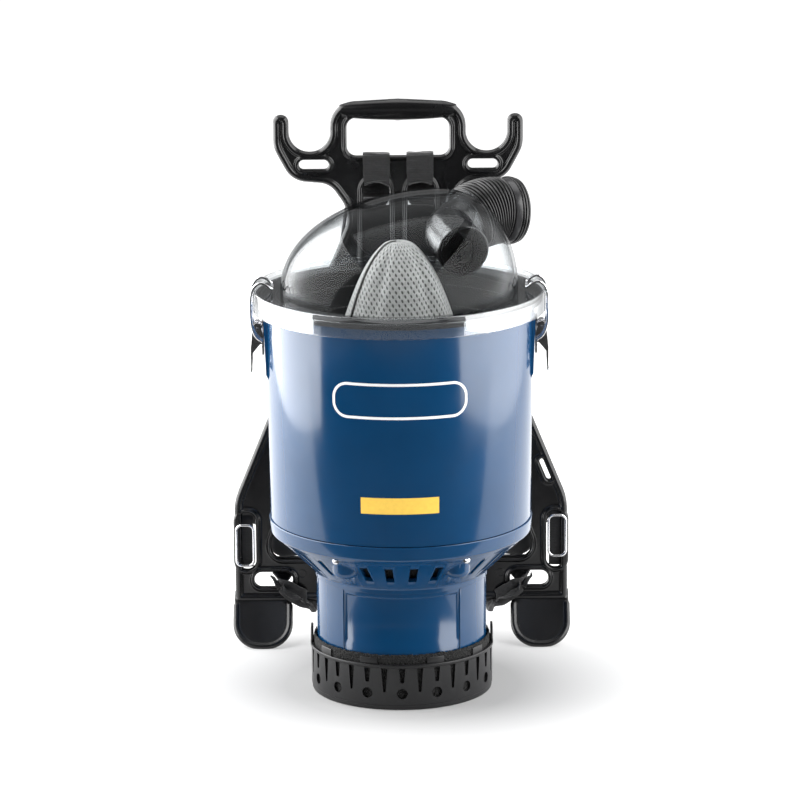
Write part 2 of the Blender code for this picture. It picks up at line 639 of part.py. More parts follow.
# ---------------------------------------------------------------- harness
def harness_frame():
    """The moulded back frame: handle, hooks, slots, windows and two feet."""
    half = [(0.0, 0.536, 0.0), (0.0648, 0.5325, 0.024), (0.0648, 0.5050, 0.008), (0.0648, 0.4850, 0.0195),
            (0.1045, 0.4850, 0.0195), (0.1045, 0.5210, 0.0072), (0.1195, 0.5210, 0.0072),
            (0.1195, 0.4900, 0.030), (0.1020, 0.4572, 0.024), (0.0655, 0.4540, 0.020),
            (0.0455, 0.4250, 0.030), (0.1618, 0.1410, 0.050), (0.1618, 0.0390, 0.002), (0.0, 0.039, 0.0)]
    handle = [(0.0, 0.515, 0.0), (0.0490, 0.5185, 0.009), (0.0490, 0.4810, 0.009), (0.0, 0.4810, 0.0)]
    crotch = [(0.0, 0.205, 0.0), (0.0860, 0.205, 0.015), (0.1265, 0.100, 0.020), (0.1265, 0.082, 0.012),
              (0.0, 0.082, 0.0)]
    outlines = [rounded_outline(mirrored(corners)) for corners in (half, handle, crotch)]
    for side in (1, -1):
        outlines.append(rectangle(side * 0.0808, 0.4727, 0.0285, 0.009, 0.0044))
        outlines.append(rectangle(side * 0.0216, 0.3945, 0.025, 0.129, 0.0122))
        outlines.append(rectangle(side * 0.1500, 0.1000, 0.017, 0.057, 0.0083))
        outlines.append(rectangle(side * 0.1245, 0.0610, 0.037, 0.0145, 0.0070))
    slant = Matrix.Rotation(math.radians(22.5), 2)
    outlines.append([tuple(Vector((0.1409, 0.1703)) + slant @ Vector(p))
                     for p in rectangle(0.0, 0.0, 0.0055, 0.022, 0.0026)])
    frame = flat("harness_frame", BLACK_GLOSS, outlines, FRAME_T, upright(FRAME_MID_Y))
    tilt = math.radians(231)
    for side in (1, -1):
        low, high = sorted((side * 0.1072, side * 0.1630))
        outline = rounded_outline([(low, -0.004, 0.0), (high, -0.004, 0.0),
                                   (high, 0.056, 0.024), (low, 0.056, 0.024)])
        foot = flat("frame_foot", None, [outline], 0.006,
                    Matrix.Translation((0, FRAME_MID_Y, 0.043)) @ Matrix.Rotation(tilt, 4, "X"))
        combine(frame, as_cutter(foot), "UNION")
    under_floor = box("under_floor", None, (-0.3, 0.0, -0.1), (0.3, 0.3, 0.0))
    combine(frame, as_cutter(under_floor))
    return frame


def rectangle(x, z, width, height, radius):
    w, h = width / 2, height / 2
    corners = [(x - w, z - h, radius), (x + w, z - h, radius), (x + w, z + h, radius), (x - w, z + h, radius)]
    return rounded_outline(corners, 30)


def brackets():
    """The two blocks that carry the canister on the frame."""
    sizes = (("upper_bracket", 0.290, 0.322, 0.034), ("lower_bracket", 0.212, 0.244, 0.040))
    for name, low, high, half in sizes:
        block = box(name, BLACK_SATIN, (-half, 0.100, low), (half, FRAME_FRONT_Y - GAP, high))
        seat = ring_profile(CANISTER_TOP_R + GAP, 0.05, low - 0.01, high + 0.01)
        combine(block, as_cutter(turned(name + "_seat", None, seat, 96)))


def back_pads():
    """The padded backs that lie against the wearer."""
    y = FRAME_BACK_Y + GAP + PAD_T / 2
    upper = [(0.0, 0.436, 0.0), (0.042, 0.436, 0.014), (0.088, 0.232, 0.014), (0.0, 0.232, 0.0)]
    lumbar = [(0.0, 0.224, 0.0), (0.098, 0.224, 0.020), (0.134, 0.140, 0.020), (0.134, 0.079, 0.012),
              (0.0, 0.079, 0.0)]
    for name, half in (("back_pad", upper), ("waist_pad", lumbar)):
        flat(name, BLACK_CLOTH, [rounded_outline(mirrored(half))], PAD_T, upright(y), edge=0.003)


def shoulder_strap(side, word):
    """A padded strap that bows back from the top bar, and its webbing down to the leg ring."""
    y = FRAME_BACK_Y + 2 * GAP + PAD_T + 0.001
    middle = smooth_path([(y + 0.004, 0.452, 0), (y + 0.014, 0.410, 0), (y + 0.020, 0.350, 0),
                          (y + 0.018, 0.290, 0), (y + 0.006, 0.240, 0)], 2)
    back = [(p.x + 0.005, p.y) for p in middle]
    front = [(p.x - 0.005, p.y) for p in reversed(middle)]
    lean = math.radians(-9.0 * side)
    matrix = (Matrix.Translation((side * 0.0245, 0, 0.452)) @ Matrix.Rotation(lean, 4, "Y")
              @ Matrix.Translation((0, 0, -0.452)) @ sideways(0.0))
    flat("shoulder_pad_" + word, BLACK_CLOTH, [back + front], 0.044, matrix)


def loop(low_z, high_z, back_y, wall):
    """A webbing loop round the frame, as the outline of (y, z) and its opening."""
    y = FRAME_FRONT_Y - wall - 0.0002
    outer = [(y, low_z), (back_y, low_z), (back_y, high_z), (y, high_z)]
    inner = [(y + wall, low_z + wall), (back_y - wall, low_z + wall),
             (back_y - wall, high_z - wall), (y + wall, high_z - wall)]
    return [rounded_outline([(a, b, radius) for a, b in corners])
            for corners, radius in ((outer, 0.001), (inner, 0.0004))]


def webbing():
    """The webbing loops, the straps down the pad's back and the steel rings."""
    for side, word in ((1, "right"), (-1, "left")):
        over_bar = loop(0.4462, 0.4830, 0.1619, 0.0014)
        flat("top_webbing_" + word, WEBBING, over_bar, 0.0238, sideways(side * 0.0216))
        shoulder_strap(side, word)
        corners = [(0.0930, 0.2380), (0.1130, 0.2240), (0.1560, 0.1160), (0.1400, 0.1110)]
        outline = [(side * x, z) for x, z in corners][::side]
        flat("side_webbing_" + word, WEBBING, [outline], 0.0014, upright(FRAME_BACK_Y + PAD_T + 0.0016))
        belt_web(side, word)
        ring(side, word)


def belt_web(side, word):
    """Belt webbing from the low slot, round the crossbar's lower edge, to the back."""
    slope = 0.85
    web = flat("belt_webbing_" + word, WEBBING, loop(0.0368, 0.0600, 0.1619, 0.0014), 0.010, sideways(0.0))
    lean = Matrix.Identity(4)
    lean[0][2] = slope * side
    lean[0][3] = side * (0.1025 - slope * 0.046)
    web.data.transform(lean @ web.matrix_world)
    web.matrix_world = Matrix.Identity(4)


def ring(side, word):
    """The rounded steel ring that hangs in the leg slot."""
    z = 0.1050 if side > 0 else 0.0970
    w, h = 0.0085, 0.0205
    corners = rounded_outline([(-w, -h, 0.006), (w, -h, 0.006), (w, h, 0.006), (-w, h, 0.006)], 30)
    points = [Vector((side * 0.1518 + x, FRAME_FRONT_Y - 0.0030, z + v)) for x, v in corners]
    wire("side_ring_" + word, CHROME, points, 0.0013, cyclic=True)


def waist_belt():
    """The folded waist belt behind the lumbar pad, and its buckle."""
    y = FRAME_BACK_Y + 2 * GAP + PAD_T
    belt = rectangle(0.0, 0.134, 0.236, 0.084, 0.018)
    flat("waist_belt", BLACK_CLOTH, [belt], 0.012, upright(y + 0.0062), edge=0.003)
    strap = rectangle(0.0, 0.134, 0.224, 0.038, 0.001)
    flat("belt_strap", WEBBING, [strap], 0.0016, upright(y + 0.0135))
    box("buckle_socket", BLACK_GLOSS, (-0.0280, y + 0.0146, 0.1110), (-0.0002, y + 0.0256, 0.1570), 0.003)
    box("buckle_plug", BLACK_GLOSS, (0.0002, y + 0.0146, 0.1130), (0.0240, y + 0.0246, 0.1550), 0.003)


# ---------------------------------------------------------------- switch and cable gland
def switch_pieces():
    """A rocker in its bezel and the cable gland, on the vent housing's hidden back."""
    across = Vector((math.cos(SWITCH_ANGLE), math.sin(SWITCH_ANGLE), 0.0))
    seat = aimed(across, across * 0.1245 + Vector((0, 0, SWITCH_Z)))
    bezel = box("switch_bezel", BLACK_SATIN, (-0.0062, -0.0120, 0.0), (0.0062, 0.0120, 0.0050))
    bezel.matrix_world = seat
    well = box("switch_well", None, (-0.0042, -0.0092, 0.0020), (0.0042, 0.0092, 0.0100))
    well.matrix_world = seat
    combine(bezel, as_cutter(well))
    rocker = box("switch_rocker", BLACK_GLOSS, (-0.0039, -0.0088, -0.0006), (0.0039, 0.0088, 0.0026))
    rocker.matrix_world = seat @ Matrix.Translation((0, 0, 0.0040)) @ Matrix.Rotation(-ROCKER_TILT, 4, "X")
    across = Vector((math.cos(GLAND_ANGLE), math.sin(GLAND_ANGLE), 0.0))
    profile = [(0.0048, 0.0200), (0.0058, 0.0050), (0.0080, 0.0050), (0.0080, 0.0), (0.0036, 0.0),
               (0.0036, 0.0200)]
    gland = turned("cable_gland", BLACK_RUBBER, profile, 16)
    gland.matrix_world = aimed(across, across * 0.1245 + Vector((0, 0, SWITCH_Z)))


# ---------------------------------------------------------------- assembly
clear_scene()
PARTS = new_collection("backpack_vacuum")
CUTTERS = new_collection("cutters")

exhaust_cover()
exhaust_foam()
motor_housing()
vent_housing()
motor_pieces()
canister()
chamber_floor()
filter_pieces()
lid()
lid_seal()
inlet_elbow()
hose_cuff()
cuff_end_ring()
latch(1, "right")
latch(-1, "left")
harness_frame()
brackets()
back_pads()
webbing()
waist_belt()
switch_pieces()
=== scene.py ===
"""Looks of the backpack vacuum cleaner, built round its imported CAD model.

Metres, +Z up, the front faces -Y. Each visible piece is made here or keeps its CAD mesh with a
finer material. Every piece rides on the CAD body that it belongs to.
"""

import math

import bmesh
import bpy
import numpy as np
from mathutils import Matrix, Vector, noise


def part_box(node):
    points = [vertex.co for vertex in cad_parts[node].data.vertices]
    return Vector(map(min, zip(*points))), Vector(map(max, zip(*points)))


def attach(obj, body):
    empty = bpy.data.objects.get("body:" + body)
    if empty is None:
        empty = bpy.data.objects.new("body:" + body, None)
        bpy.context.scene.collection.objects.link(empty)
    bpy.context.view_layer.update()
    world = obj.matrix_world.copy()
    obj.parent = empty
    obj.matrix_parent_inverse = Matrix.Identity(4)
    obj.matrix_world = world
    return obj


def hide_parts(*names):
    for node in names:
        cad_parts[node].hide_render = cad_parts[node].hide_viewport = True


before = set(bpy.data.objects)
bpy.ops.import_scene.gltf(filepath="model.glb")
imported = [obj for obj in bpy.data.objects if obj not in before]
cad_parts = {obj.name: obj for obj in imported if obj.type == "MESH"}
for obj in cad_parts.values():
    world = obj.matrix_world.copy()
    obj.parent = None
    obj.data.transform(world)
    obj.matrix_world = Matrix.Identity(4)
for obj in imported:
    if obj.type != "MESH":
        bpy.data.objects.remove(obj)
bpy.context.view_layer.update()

# ---------------------------------------------------------------- sizes read from the CAD model
CAN_LOW, CAN_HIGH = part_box("canister")
SKIRT_LOW, SKIRT_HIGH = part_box("vent_housing")
BARREL_LOW, BARREL_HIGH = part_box("motor_housing")
COVER_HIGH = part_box("exhaust_cover")[1]
LID_LOW, LID_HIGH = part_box("lid_dome")
FRAME_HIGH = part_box("harness_frame")[1]

SIDES = ((1, "right"), (-1, "left"))
FINE = 160                       # steps round the large turned shells
CAN_TOP_R = 0.1245
CAN_TOP_Z, CAN_FOOT_Z = CAN_HIGH.z, CAN_LOW.z
CAN_WALL = 0.003
BARREL_R = BARREL_HIGH.y
COVER_R = COVER_HIGH.y - 0.001
LID_R = LID_HIGH.x
LID_LIP_Z = 0.387
LID_FOOT_Z = LID_LOW.z
FLANGE_Z, FLANGE_T = 0.383, 0.002
DOME_R, DOME_H, DOME_WALL = 0.111, 0.090, 0.0026
DOME_APEX = Vector((0.045, 0.024))
DOME_POWER = 2.15
PORT_CENTRE = Vector((0.062, 0.059, 0.436))
PORT_AXIS = Vector((0.750, 0.605, 0.260)).normalized()
PORT_R = 0.0246
ELBOW_KNEE = PORT_CENTRE - PORT_AXIS * 0.022
ELBOW_MOUTH = Vector((0.060, -0.006, 0.4215))
CUFF_START = PORT_CENTRE + PORT_AXIS * 0.0045
BACK_Y = FRAME_HIGH.y
FRONT_Y = 0.150
MID_Y = (FRONT_Y + BACK_Y) / 2


QUARTER_X = Matrix.Rotation(math.pi / 2, 4, "X")
QUARTER_Y = Matrix.Rotation(math.pi / 2, 4, "Y")


# ---------------------------------------------------------------- mesh helpers
def about_z(degrees):
    """A turn about the canister's axis."""
    return Matrix.Rotation(math.radians(degrees), 4, "Z")


def new_ring(points, rings, count):
    """Numbers the next ring of points."""
    rings.append(list(range(len(points), len(points) + count)))


def mesh_of(name, points, faces):
    """A mesh with its faces turned outwards."""
    data = bpy.data.meshes.new(name)
    data.from_pydata([tuple(p) for p in points], [], faces)
    turn_out(data)
    return data


def turn_out(data, merge=0.000004):
    """Turns every face outwards, after joining points that lie together."""
    mesh = bmesh.new()
    mesh.from_mesh(data)
    bmesh.ops.remove_doubles(mesh, verts=mesh.verts, dist=merge)
    bmesh.ops.recalc_face_normals(mesh, faces=mesh.faces)
    mesh.to_mesh(data)
    mesh.free()


def linked(name, data):
    """Puts the mesh into the scene as an object."""
    obj = bpy.data.objects.new(name, data)
    bpy.context.scene.collection.objects.link(obj)
    return obj


def taken(obj):
    """The evaluated mesh of an object in the row frame; the object goes."""
    bpy.context.view_layer.update()
    data = bpy.data.meshes.new_from_object(obj.evaluated_get(bpy.context.evaluated_depsgraph_get()))
    data.transform(obj.matrix_world)
    bpy.data.objects.remove(obj, do_unlink=True)
    turn_out(data)
    return data


def together(name, meshes):
    """Several meshes as one."""
    mesh = bmesh.new()
    for data in meshes:
        mesh.from_mesh(data)
    made = bpy.data.meshes.new(name)
    mesh.to_mesh(made)
    mesh.free()
    return made


def moved(data, matrix):
    """The same mesh, carried by a matrix."""
    data.transform(matrix)
    return data


def cut(data, *others, operation="DIFFERENCE"):
    """The mesh after Booleans with the other meshes."""
    obj = linked("being_cut", data)
    helpers = [linked("cutter", other) for other in others]
    for helper in helpers:
        modifier = obj.modifiers.new("Boolean", "BOOLEAN")
        modifier.operation = operation
        modifier.solver = "EXACT"
        modifier.object = helper
    made = taken(obj)
    for helper in helpers:
        bpy.data.objects.remove(helper, do_unlink=True)
    return made


def bevelled(data, width, segments=3, angle=35):
    """Rounds the edges that are sharper than the angle."""
    obj = linked("being_bevelled", data)
    modifier = obj.modifiers.new("Bevel", "BEVEL")
    modifier.width = width
    modifier.segments = segments
    modifier.limit_method = "ANGLE"
    modifier.angle_limit = math.radians(angle)
    return taken(obj)


def remeshed(data, voxel, smooth=4):
    """One even skin round everything in the mesh, then smoothed."""
    obj = linked("being_remeshed", data)
    modifier = obj.modifiers.new("Remesh", "REMESH")
    modifier.mode = "VOXEL"
    modifier.voxel_size = voxel
    if smooth:
        soften = obj.modifiers.new("Smooth", "SMOOTH")
        soften.factor = 0.5
        soften.iterations = smooth
    return taken(obj)


def piece(name, data, finish, body="chassis", replaces=(), angle=32):
    """A shown piece: its mesh, its material, the body it rides on and the CAD nodes it stands for."""
    obj = linked(name, data)
    data.materials.clear()
    data.materials.append(FINISHES[finish])
    if obj.type == "MESH":
        data.shade_smooth()
        data.set_sharp_from_angle(angle=math.radians(angle))
    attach(obj, body)
    if replaces:
        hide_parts(*replaces)
    return obj


def lathe(name, profile, steps=FINE, closed=True):
    """A body turned about Z from (radius, z) points. An open profile starts and ends on the axis."""
    points, rings = [], []
    for radius, z in profile:
        if radius < 1e-7:
            rings.append([len(points)] * steps)
            points.append((0.0, 0.0, z))
            continue
        new_ring(points, rings, steps)
        for k in range(steps):
            angle = math.tau * k / steps
            points.append((radius * math.cos(angle), radius * math.sin(angle), z))
    return mesh_of(name, points, ring_faces(rings, closed))


def ring_faces(rings, closed):
    """Faces between neighbouring rings of point numbers; a repeated number closes to a point."""
    faces = []
    steps = len(rings[0])
    pairs = list(zip(rings, rings[1:]))
    if closed:
        pairs.append((rings[-1], rings[0]))
    for a, b in pairs:
        for k in range(steps):
            n = (k + 1) % steps
            face = []
            for index in (a[k], a[n], b[n], b[k]):
                if index not in face:
                    face.append(index)
            if len(face) > 2:
                faces.append(face)
    return faces


def rounded(corners, step=12.0):
    """An outline whose corners (x, y, radius) become arcs, a point each step degrees."""
    points = []
    count = len(corners)
    for i, (x, y, radius) in enumerate(corners):
        here = Vector((x, y))
        before = (Vector(corners[i - 1][:2]) - here).normalized()
        after = (Vector(corners[(i + 1) % count][:2]) - here).normalized()
        opening = before.angle(after)
        if radius == 0 or opening > math.radians(179):
            points.append((x, y))
            continue
        reach = radius / math.tan(opening / 2)
        centre = here + (before + after).normalized() * (radius / math.sin(opening / 2))
        start = here + before * reach - centre
        sweep = start.angle_signed(here + after * reach - centre)
        pieces = max(2, math.ceil(abs(math.degrees(sweep)) / step))
        for k in range(pieces + 1):
            points.append(tuple(centre + Matrix.Rotation(-sweep * k / pieces, 2) @ start))
    return points


def mirrored(half):
    """A closed symmetric outline from its right half, listed from top to bottom."""
    return half + [(-x, y, r) for x, y, r in reversed(half) if x > 0]


def rectangle(x, z, width, height, radius, step=12.0):
    """A rectangle with rounded corners."""
    w, h = width / 2, height / 2
    return rounded([(x - w, z - h, radius), (x + w, z - h, radius),
                    (x + w, z + h, radius), (x - w, z + h, radius)], step)


def upright(y):
    """Puts an outline of (x, z) in a plane across Y."""
    return Matrix.Translation((0.0, y, 0.0)) @ Matrix.Rotation(math.radians(90), 4, "X")


def sideways(x):
    """Puts an outline of (y, z) in a plane across X."""
    return Matrix.Translation((x, 0.0, 0.0)) @ Matrix(((0, 0, 1, 0), (1, 0, 0, 0), (0, 1, 0, 0),
                                                       (0, 0, 0, 1)))


def aimed(direction, point):
    """A matrix that turns +Z to a direction and moves the origin to a point."""
    return Matrix.Translation(point) @ direction.to_track_quat("Z", "Y").to_matrix().to_4x4()


def plate(outlines, thickness, matrix):
    """A flat body from outlines, the first one its edge and the others holes."""
    data = bpy.data.curves.new("plate", "CURVE")
    data.dimensions = "2D"
    data.fill_mode = "BOTH"
    data.extrude = thickness / 2
    for outline in outlines:
        spline = data.splines.new("POLY")
        spline.points.add(len(outline) - 1)
        for point, (x, y) in zip(spline.points, outline):
            point.co = (x, y, 0.0, 1.0)
        spline.use_cyclic_u = True
    obj = linked("plate", data)
    obj.matrix_world = matrix
    return taken(obj)


def block(low, high, bevel=0.0, segments=3):
    """A box between two corners, with rounded edges."""
    mesh = bmesh.new()
    size = [b - a for a, b in zip(low, high)]
    middle = [(a + b) / 2 for a, b in zip(low, high)]
    bmesh.ops.create_cube(mesh, size=1.0,
                          matrix=Matrix.Translation(middle) @ Matrix.Diagonal((*size, 1.0)))
    data = bpy.data.meshes.new("block")
    mesh.to_mesh(data)
    mesh.free()
    return bevelled(data, bevel, segments) if bevel else data


def drum(radius, length, matrix, steps=32, taper=0.0):
    """A short round bar along its own Z."""
    mesh = bmesh.new()
    bmesh.ops.create_cone(mesh, cap_ends=True, segments=steps, radius1=radius, radius2=radius - taper,
                          depth=length, matrix=matrix)
    data = bpy.data.meshes.new("drum")
    mesh.to_mesh(data)
    mesh.free()
    return data


def through(knots, pieces=8):
    """Points on a smooth curve through the given ones."""
    knots = [Vector(k) for k in knots]
    path = []
    for i in range(len(knots) - 1):
        a = knots[i - 1] if i else knots[0] * 2 - knots[1]
        b, c = knots[i], knots[i + 1]
        d = knots[i + 2] if i + 2 < len(knots) else c * 2 - b
        for k in range(pieces):
            t = k / pieces
            path.append(0.5 * (2 * b + (c - a) * t + (2 * a - 5 * b + 4 * c - d) * t * t
                               + (3 * b - a - 3 * c + d) * t ** 3))
    return path + [knots[-1]]


def length_of(path):
    """The length of a path."""
    return sum((b - a).length for a, b in zip(path, path[1:]))


def spaced(path):
    """A closed path without the points that fall on the one before them."""
    return [p for i, p in enumerate(path) if (p - path[i - 1]).length > 1e-5]


def carried(path, cyclic=False):
    """For each point of a path: the point and two directions across it that never twist."""
    count = len(path)
    tangents = []
    for i in range(count):
        ahead = path[(i + 1) % count] if cyclic or i + 1 < count else path[i]
        behind = path[i - 1] if cyclic or i else path[i]
        tangents.append((ahead - behind).normalized())
    side = tangents[0].orthogonal().normalized()
    frames = []
    for point, tangent in zip(path, tangents):
        side = (side - tangent * side.dot(tangent)).normalized()
        frames.append((point, side, tangent.cross(side)))
    return frames


def circle(point, side, other, radius, steps):
    """Points round a centre, in the plane of two directions."""
    turns = [math.tau * k / steps for k in range(steps)]
    return [point + side * (radius * math.cos(t)) + other * (radius * math.sin(t)) for t in turns]


def bent_lathe(name, path, profile, steps=64, closed=True):
    """A turned body whose axis is a path: the profile is (distance along it, radius)."""
    frames = carried(path)
    reach = [0.0]
    for a, b in zip(path, path[1:]):
        reach.append(reach[-1] + (b - a).length)
    points, rings = [], []
    for along, radius in profile:
        i = min(len(path) - 2, max(0, sum(1 for r in reach if r < along) - 1))
        share = (along - reach[i]) / max(reach[i + 1] - reach[i], 1e-9)
        point = frames[i][0].lerp(frames[i + 1][0], share)
        side = frames[i][1].lerp(frames[i + 1][1], share).normalized()
        other = frames[i][2].lerp(frames[i + 1][2], share).normalized()
        new_ring(points, rings, steps)
        points += circle(point, side, other, radius, steps)
    return mesh_of(name, points, ring_faces(rings, closed))


def wire(name, path, radius, sides=14, cyclic=False):
    """A round wire along a path, with rounded ends."""
    points, rings = [], []
    frames = carried(path, cyclic)
    for point, side, other in frames:
        new_ring(points, rings, sides)
        points += circle(point, side, other, radius, sides)
    if not cyclic:
        for end, beside in ((0, 1), (-1, -2)):
            tip = path[end] + (path[end] - path[beside]).normalized() * radius * 0.7
            ring = [len(points)] * sides
            points.append(tip)
            if end:
                rings.append(ring)
            else:
                rings.insert(0, ring)
    return mesh_of(name, points, ring_faces(rings, cyclic))


def bead(outline, y, half_width, half_depth, material_side, sides=14):
    """A rounded rim along a closed outline of (x, z), lying just inside the material."""
    kept = spaced([Vector(p) for p in outline])
    count = len(kept)
    area = sum(kept[i - 1].cross(kept[i]) for i in range(count))
    turn = (1 if area > 0 else -1) * material_side
    points, rings = [], []
    for i, here in enumerate(kept):
        before = (here - kept[i - 1]).normalized()
        after = (kept[(i + 1) % count] - here).normalized()
        along = (before + after).normalized()
        inward = Vector((-along.y, along.x)) * turn
        stretch = 1 / max(0.5, along.dot(after))
        middle = here + inward * (half_width * stretch)
        new_ring(points, rings, sides)
        for k in range(sides):
            angle = math.tau * k / sides
            at = middle + inward * (half_width * stretch * math.cos(angle))
            points.append((at.x, y + half_depth * math.sin(angle), at.y))
    return mesh_of("bead", points, ring_faces(rings, True))


def strip(name, path, width, thickness, across=None, ripple=0.0, columns=7, seed=0.0):
    """A webbing strip: a thin closed band along a path. across is its width's direction."""
    frames = carried(path)
    rings = []
    points = []
    for i, (point, side, other) in enumerate(frames):
        wide = Vector(across) if across else side
        tangent = side.cross(other)
        wide = (wide - tangent * wide.dot(tangent)).normalized()
        normal = tangent.cross(wide)
        ring = []
        for layer in (1, -1):
            order = range(columns) if layer > 0 else reversed(range(columns))
            for k in order:
                share = k / (columns - 1) - 0.5
                lift = ripple * noise.noise(Vector((i * 0.35, share * 3.0, seed)))
                edge = 1.0 if 0 < k < columns - 1 else 0.6
                ring.append(len(points))
                points.append(point + wide * (width * share)
                              + normal * (layer * thickness / 2 * edge + lift))
        rings.append(ring)
    faces = ring_faces(rings, False)
    faces.append(list(rings[0]))
    faces.append(list(reversed(rings[-1])))
    return mesh_of(name, points, faces)


# ---------------------------------------------------------------- material helpers
class Nodes:
    """A small helper that adds nodes to one material."""

    def __init__(self, name, colour, roughness, metallic=0.0):
        self.material = bpy.data.materials.new(name)
        self.material.use_nodes = True
        self.tree = self.material.node_tree
        self.shader = self.tree.nodes["Principled BSDF"]
        self.colour = colour
        self.shader.inputs["Base Color"].default_value = (*colour, 1.0)
        self.shader.inputs["Roughness"].default_value = roughness
        self.shader.inputs["Metallic"].default_value = metallic
        self.place = self.add("ShaderNodeTexCoord").outputs["Object"]
        self.bumps = None

    def add(self, kind, **values):
        """Adds a node."""
        node = self.tree.nodes.new(kind)
        for key, value in values.items():
            if hasattr(node, key):
                setattr(node, key, value)
            else:
                node.inputs[key.replace("_", " ")].default_value = value
        return node

    def link(self, source, target):
        """Joins two sockets."""
        self.tree.links.new(source, target)

    def noise(self, scale, detail=3.0, stretch=None):
        """Noise on the piece's own position."""
        texture = self.add("ShaderNodeTexNoise", Scale=scale, Detail=detail)
        source = self.place
        if stretch:
            mapping = self.add("ShaderNodeMapping")
            mapping.inputs["Scale"].default_value = stretch
            self.link(self.place, mapping.inputs["Vector"])
            source = mapping.outputs["Vector"]
        self.link(source, texture.inputs["Vector"])
        return texture.outputs["Fac"]

    def ranged(self, source, low, high, source_low=0.3, source_high=0.7):
        """Maps one range to another."""
        node = self.add("ShaderNodeMapRange")
        self.link(source, node.inputs["Value"])
        for key, value in (("From Min", source_low), ("From Max", source_high), ("To Min", low),
                           ("To Max", high)):
            node.inputs[key].default_value = value
        return node.outputs["Result"]

    def vary_colour(self, source, darker, lighter):
        """The colour runs from darker to lighter times the base colour."""
        ramp = self.add("ShaderNodeValToRGB")
        ramp.color_ramp.elements[0].position = 0.3
        ramp.color_ramp.elements[1].position = 0.7
        for element, share in zip(ramp.color_ramp.elements, (darker, lighter)):
            element.color = (*[min(1.0, c * share) for c in self.colour], 1.0)
        self.link(source, ramp.inputs["Fac"])
        self.link(ramp.outputs["Color"], self.shader.inputs["Base Color"])
        return ramp.outputs["Color"]

    def vary_roughness(self, source, low, high):
        """Lets a value drive the roughness."""
        self.link(self.ranged(source, low, high), self.shader.inputs["Roughness"])

    def bump(self, source, strength, distance):
        """Lets a value drive the bump."""
        node = self.add("ShaderNodeBump", Strength=strength, Distance=distance)
        self.link(source, node.inputs["Height"])
        if self.bumps:
            self.link(self.bumps, node.inputs["Normal"])
        self.bumps = node.outputs["Normal"]
        self.link(self.bumps, self.shader.inputs["Normal"])

    def maths(self, operation, a, b=None):
        """One maths node."""
        node = self.add("ShaderNodeMath", operation=operation)
        for socket, value in zip(node.inputs, (a, b)):
            if value is None:
                continue
            if isinstance(value, (int, float)):
                socket.default_value = value
            else:
                self.link(value, socket)
        return node.outputs["Value"]

    def length(self, a, b):
        """The length of a flat vector."""
        squares = self.maths("ADD", self.maths("MULTIPLY", a, a), self.maths("MULTIPLY", b, b))
        return self.maths("SQRT", squares)


def moulded(name, colour, roughness, grain=0.05, coat=0.0, spread=0.05):
    """Moulded plastic: fine grain, slow colour drift, and duller patches where hands rub it."""
    made = Nodes(name, colour, roughness)
    made.vary_colour(made.noise(14.0), 0.90, 1.10)
    made.vary_roughness(made.noise(38.0, 5.0), roughness - spread, roughness + spread)
    made.bump(made.noise(1500.0, 2.0), grain, 0.0002)
    made.bump(made.noise(60.0, 2.0), 0.02, 0.0006)
    made.shader.inputs["Coat Weight"].default_value = coat
    made.shader.inputs["Coat Roughness"].default_value = 0.08
    return made.material


def rubber(name, colour, roughness):
    """Soft, slightly speckled rubber or moulded plastic."""
    made = Nodes(name, colour, roughness)
    made.vary_colour(made.noise(45.0, 4.0), 0.85, 1.25)
    made.vary_roughness(made.noise(120.0, 3.0), roughness - 0.08, roughness + 0.08)
    made.bump(made.noise(900.0, 3.0), 0.12, 0.0002)
    return made.material


def metal(name, colour, roughness, brushed=(1.0, 1.0, 1.0)):
    """Metal, brushed or plain."""
    made = Nodes(name, colour, roughness, 1.0)
    made.vary_colour(made.noise(60.0, 3.0), 0.92, 1.0)
    made.vary_roughness(made.noise(260.0, 3.0, brushed), roughness * 0.7, roughness * 1.5)
    made.bump(made.noise(800.0, 2.0, brushed), 0.04, 0.0001)
    return made.material


def clear(name):
    """Clear moulded plastic as a thin skin: it mirrors at a slant, and darkens a little at its edges."""
    made = Nodes(name, (0.96, 0.97, 0.98), 0.03, 1.0)
    made.vary_roughness(made.noise(25.0, 4.0), 0.015, 0.06)
    made.bump(made.noise(18.0, 1.0), 0.05, 0.0010)
    slant = made.add("ShaderNodeLayerWeight", Blend=0.5).outputs["Facing"]
    mirror = made.maths("ADD", made.maths("MULTIPLY", made.maths("POWER", slant, 5.0), 0.55), 0.005)
    across = made.add("ShaderNodeSeparateXYZ")
    made.link(made.place, across.inputs["Vector"])
    reach = made.length(across.outputs["X"], across.outputs["Y"])
    mirror = made.maths("ADD", mirror,
                        made.maths("MULTIPLY", made.maths("GREATER_THAN", reach, LID_R - 0.0032), 0.15))
    through_it = made.add("ShaderNodeBsdfTransparent")
    ramp = made.add("ShaderNodeValToRGB")
    ramp.color_ramp.elements[0].position, ramp.color_ramp.elements[0].color = 0.55, (0.97, 0.98, 0.985,
                                                                                     1.0)
    ramp.color_ramp.elements[1].position, ramp.color_ramp.elements[1].color = 1.0, (0.30, 0.31, 0.32, 1.0)
    made.link(slant, ramp.inputs["Fac"])
    made.link(ramp.outputs["Color"], through_it.inputs["Color"])
    mix = made.add("ShaderNodeMixShader")
    made.link(mirror, mix.inputs[0])
    made.link(through_it.outputs["BSDF"], mix.inputs[1])
    made.link(made.shader.outputs["BSDF"], mix.inputs[2])
    made.link(mix.outputs["Shader"], made.tree.nodes["Material Output"].inputs["Surface"])
    return made.material


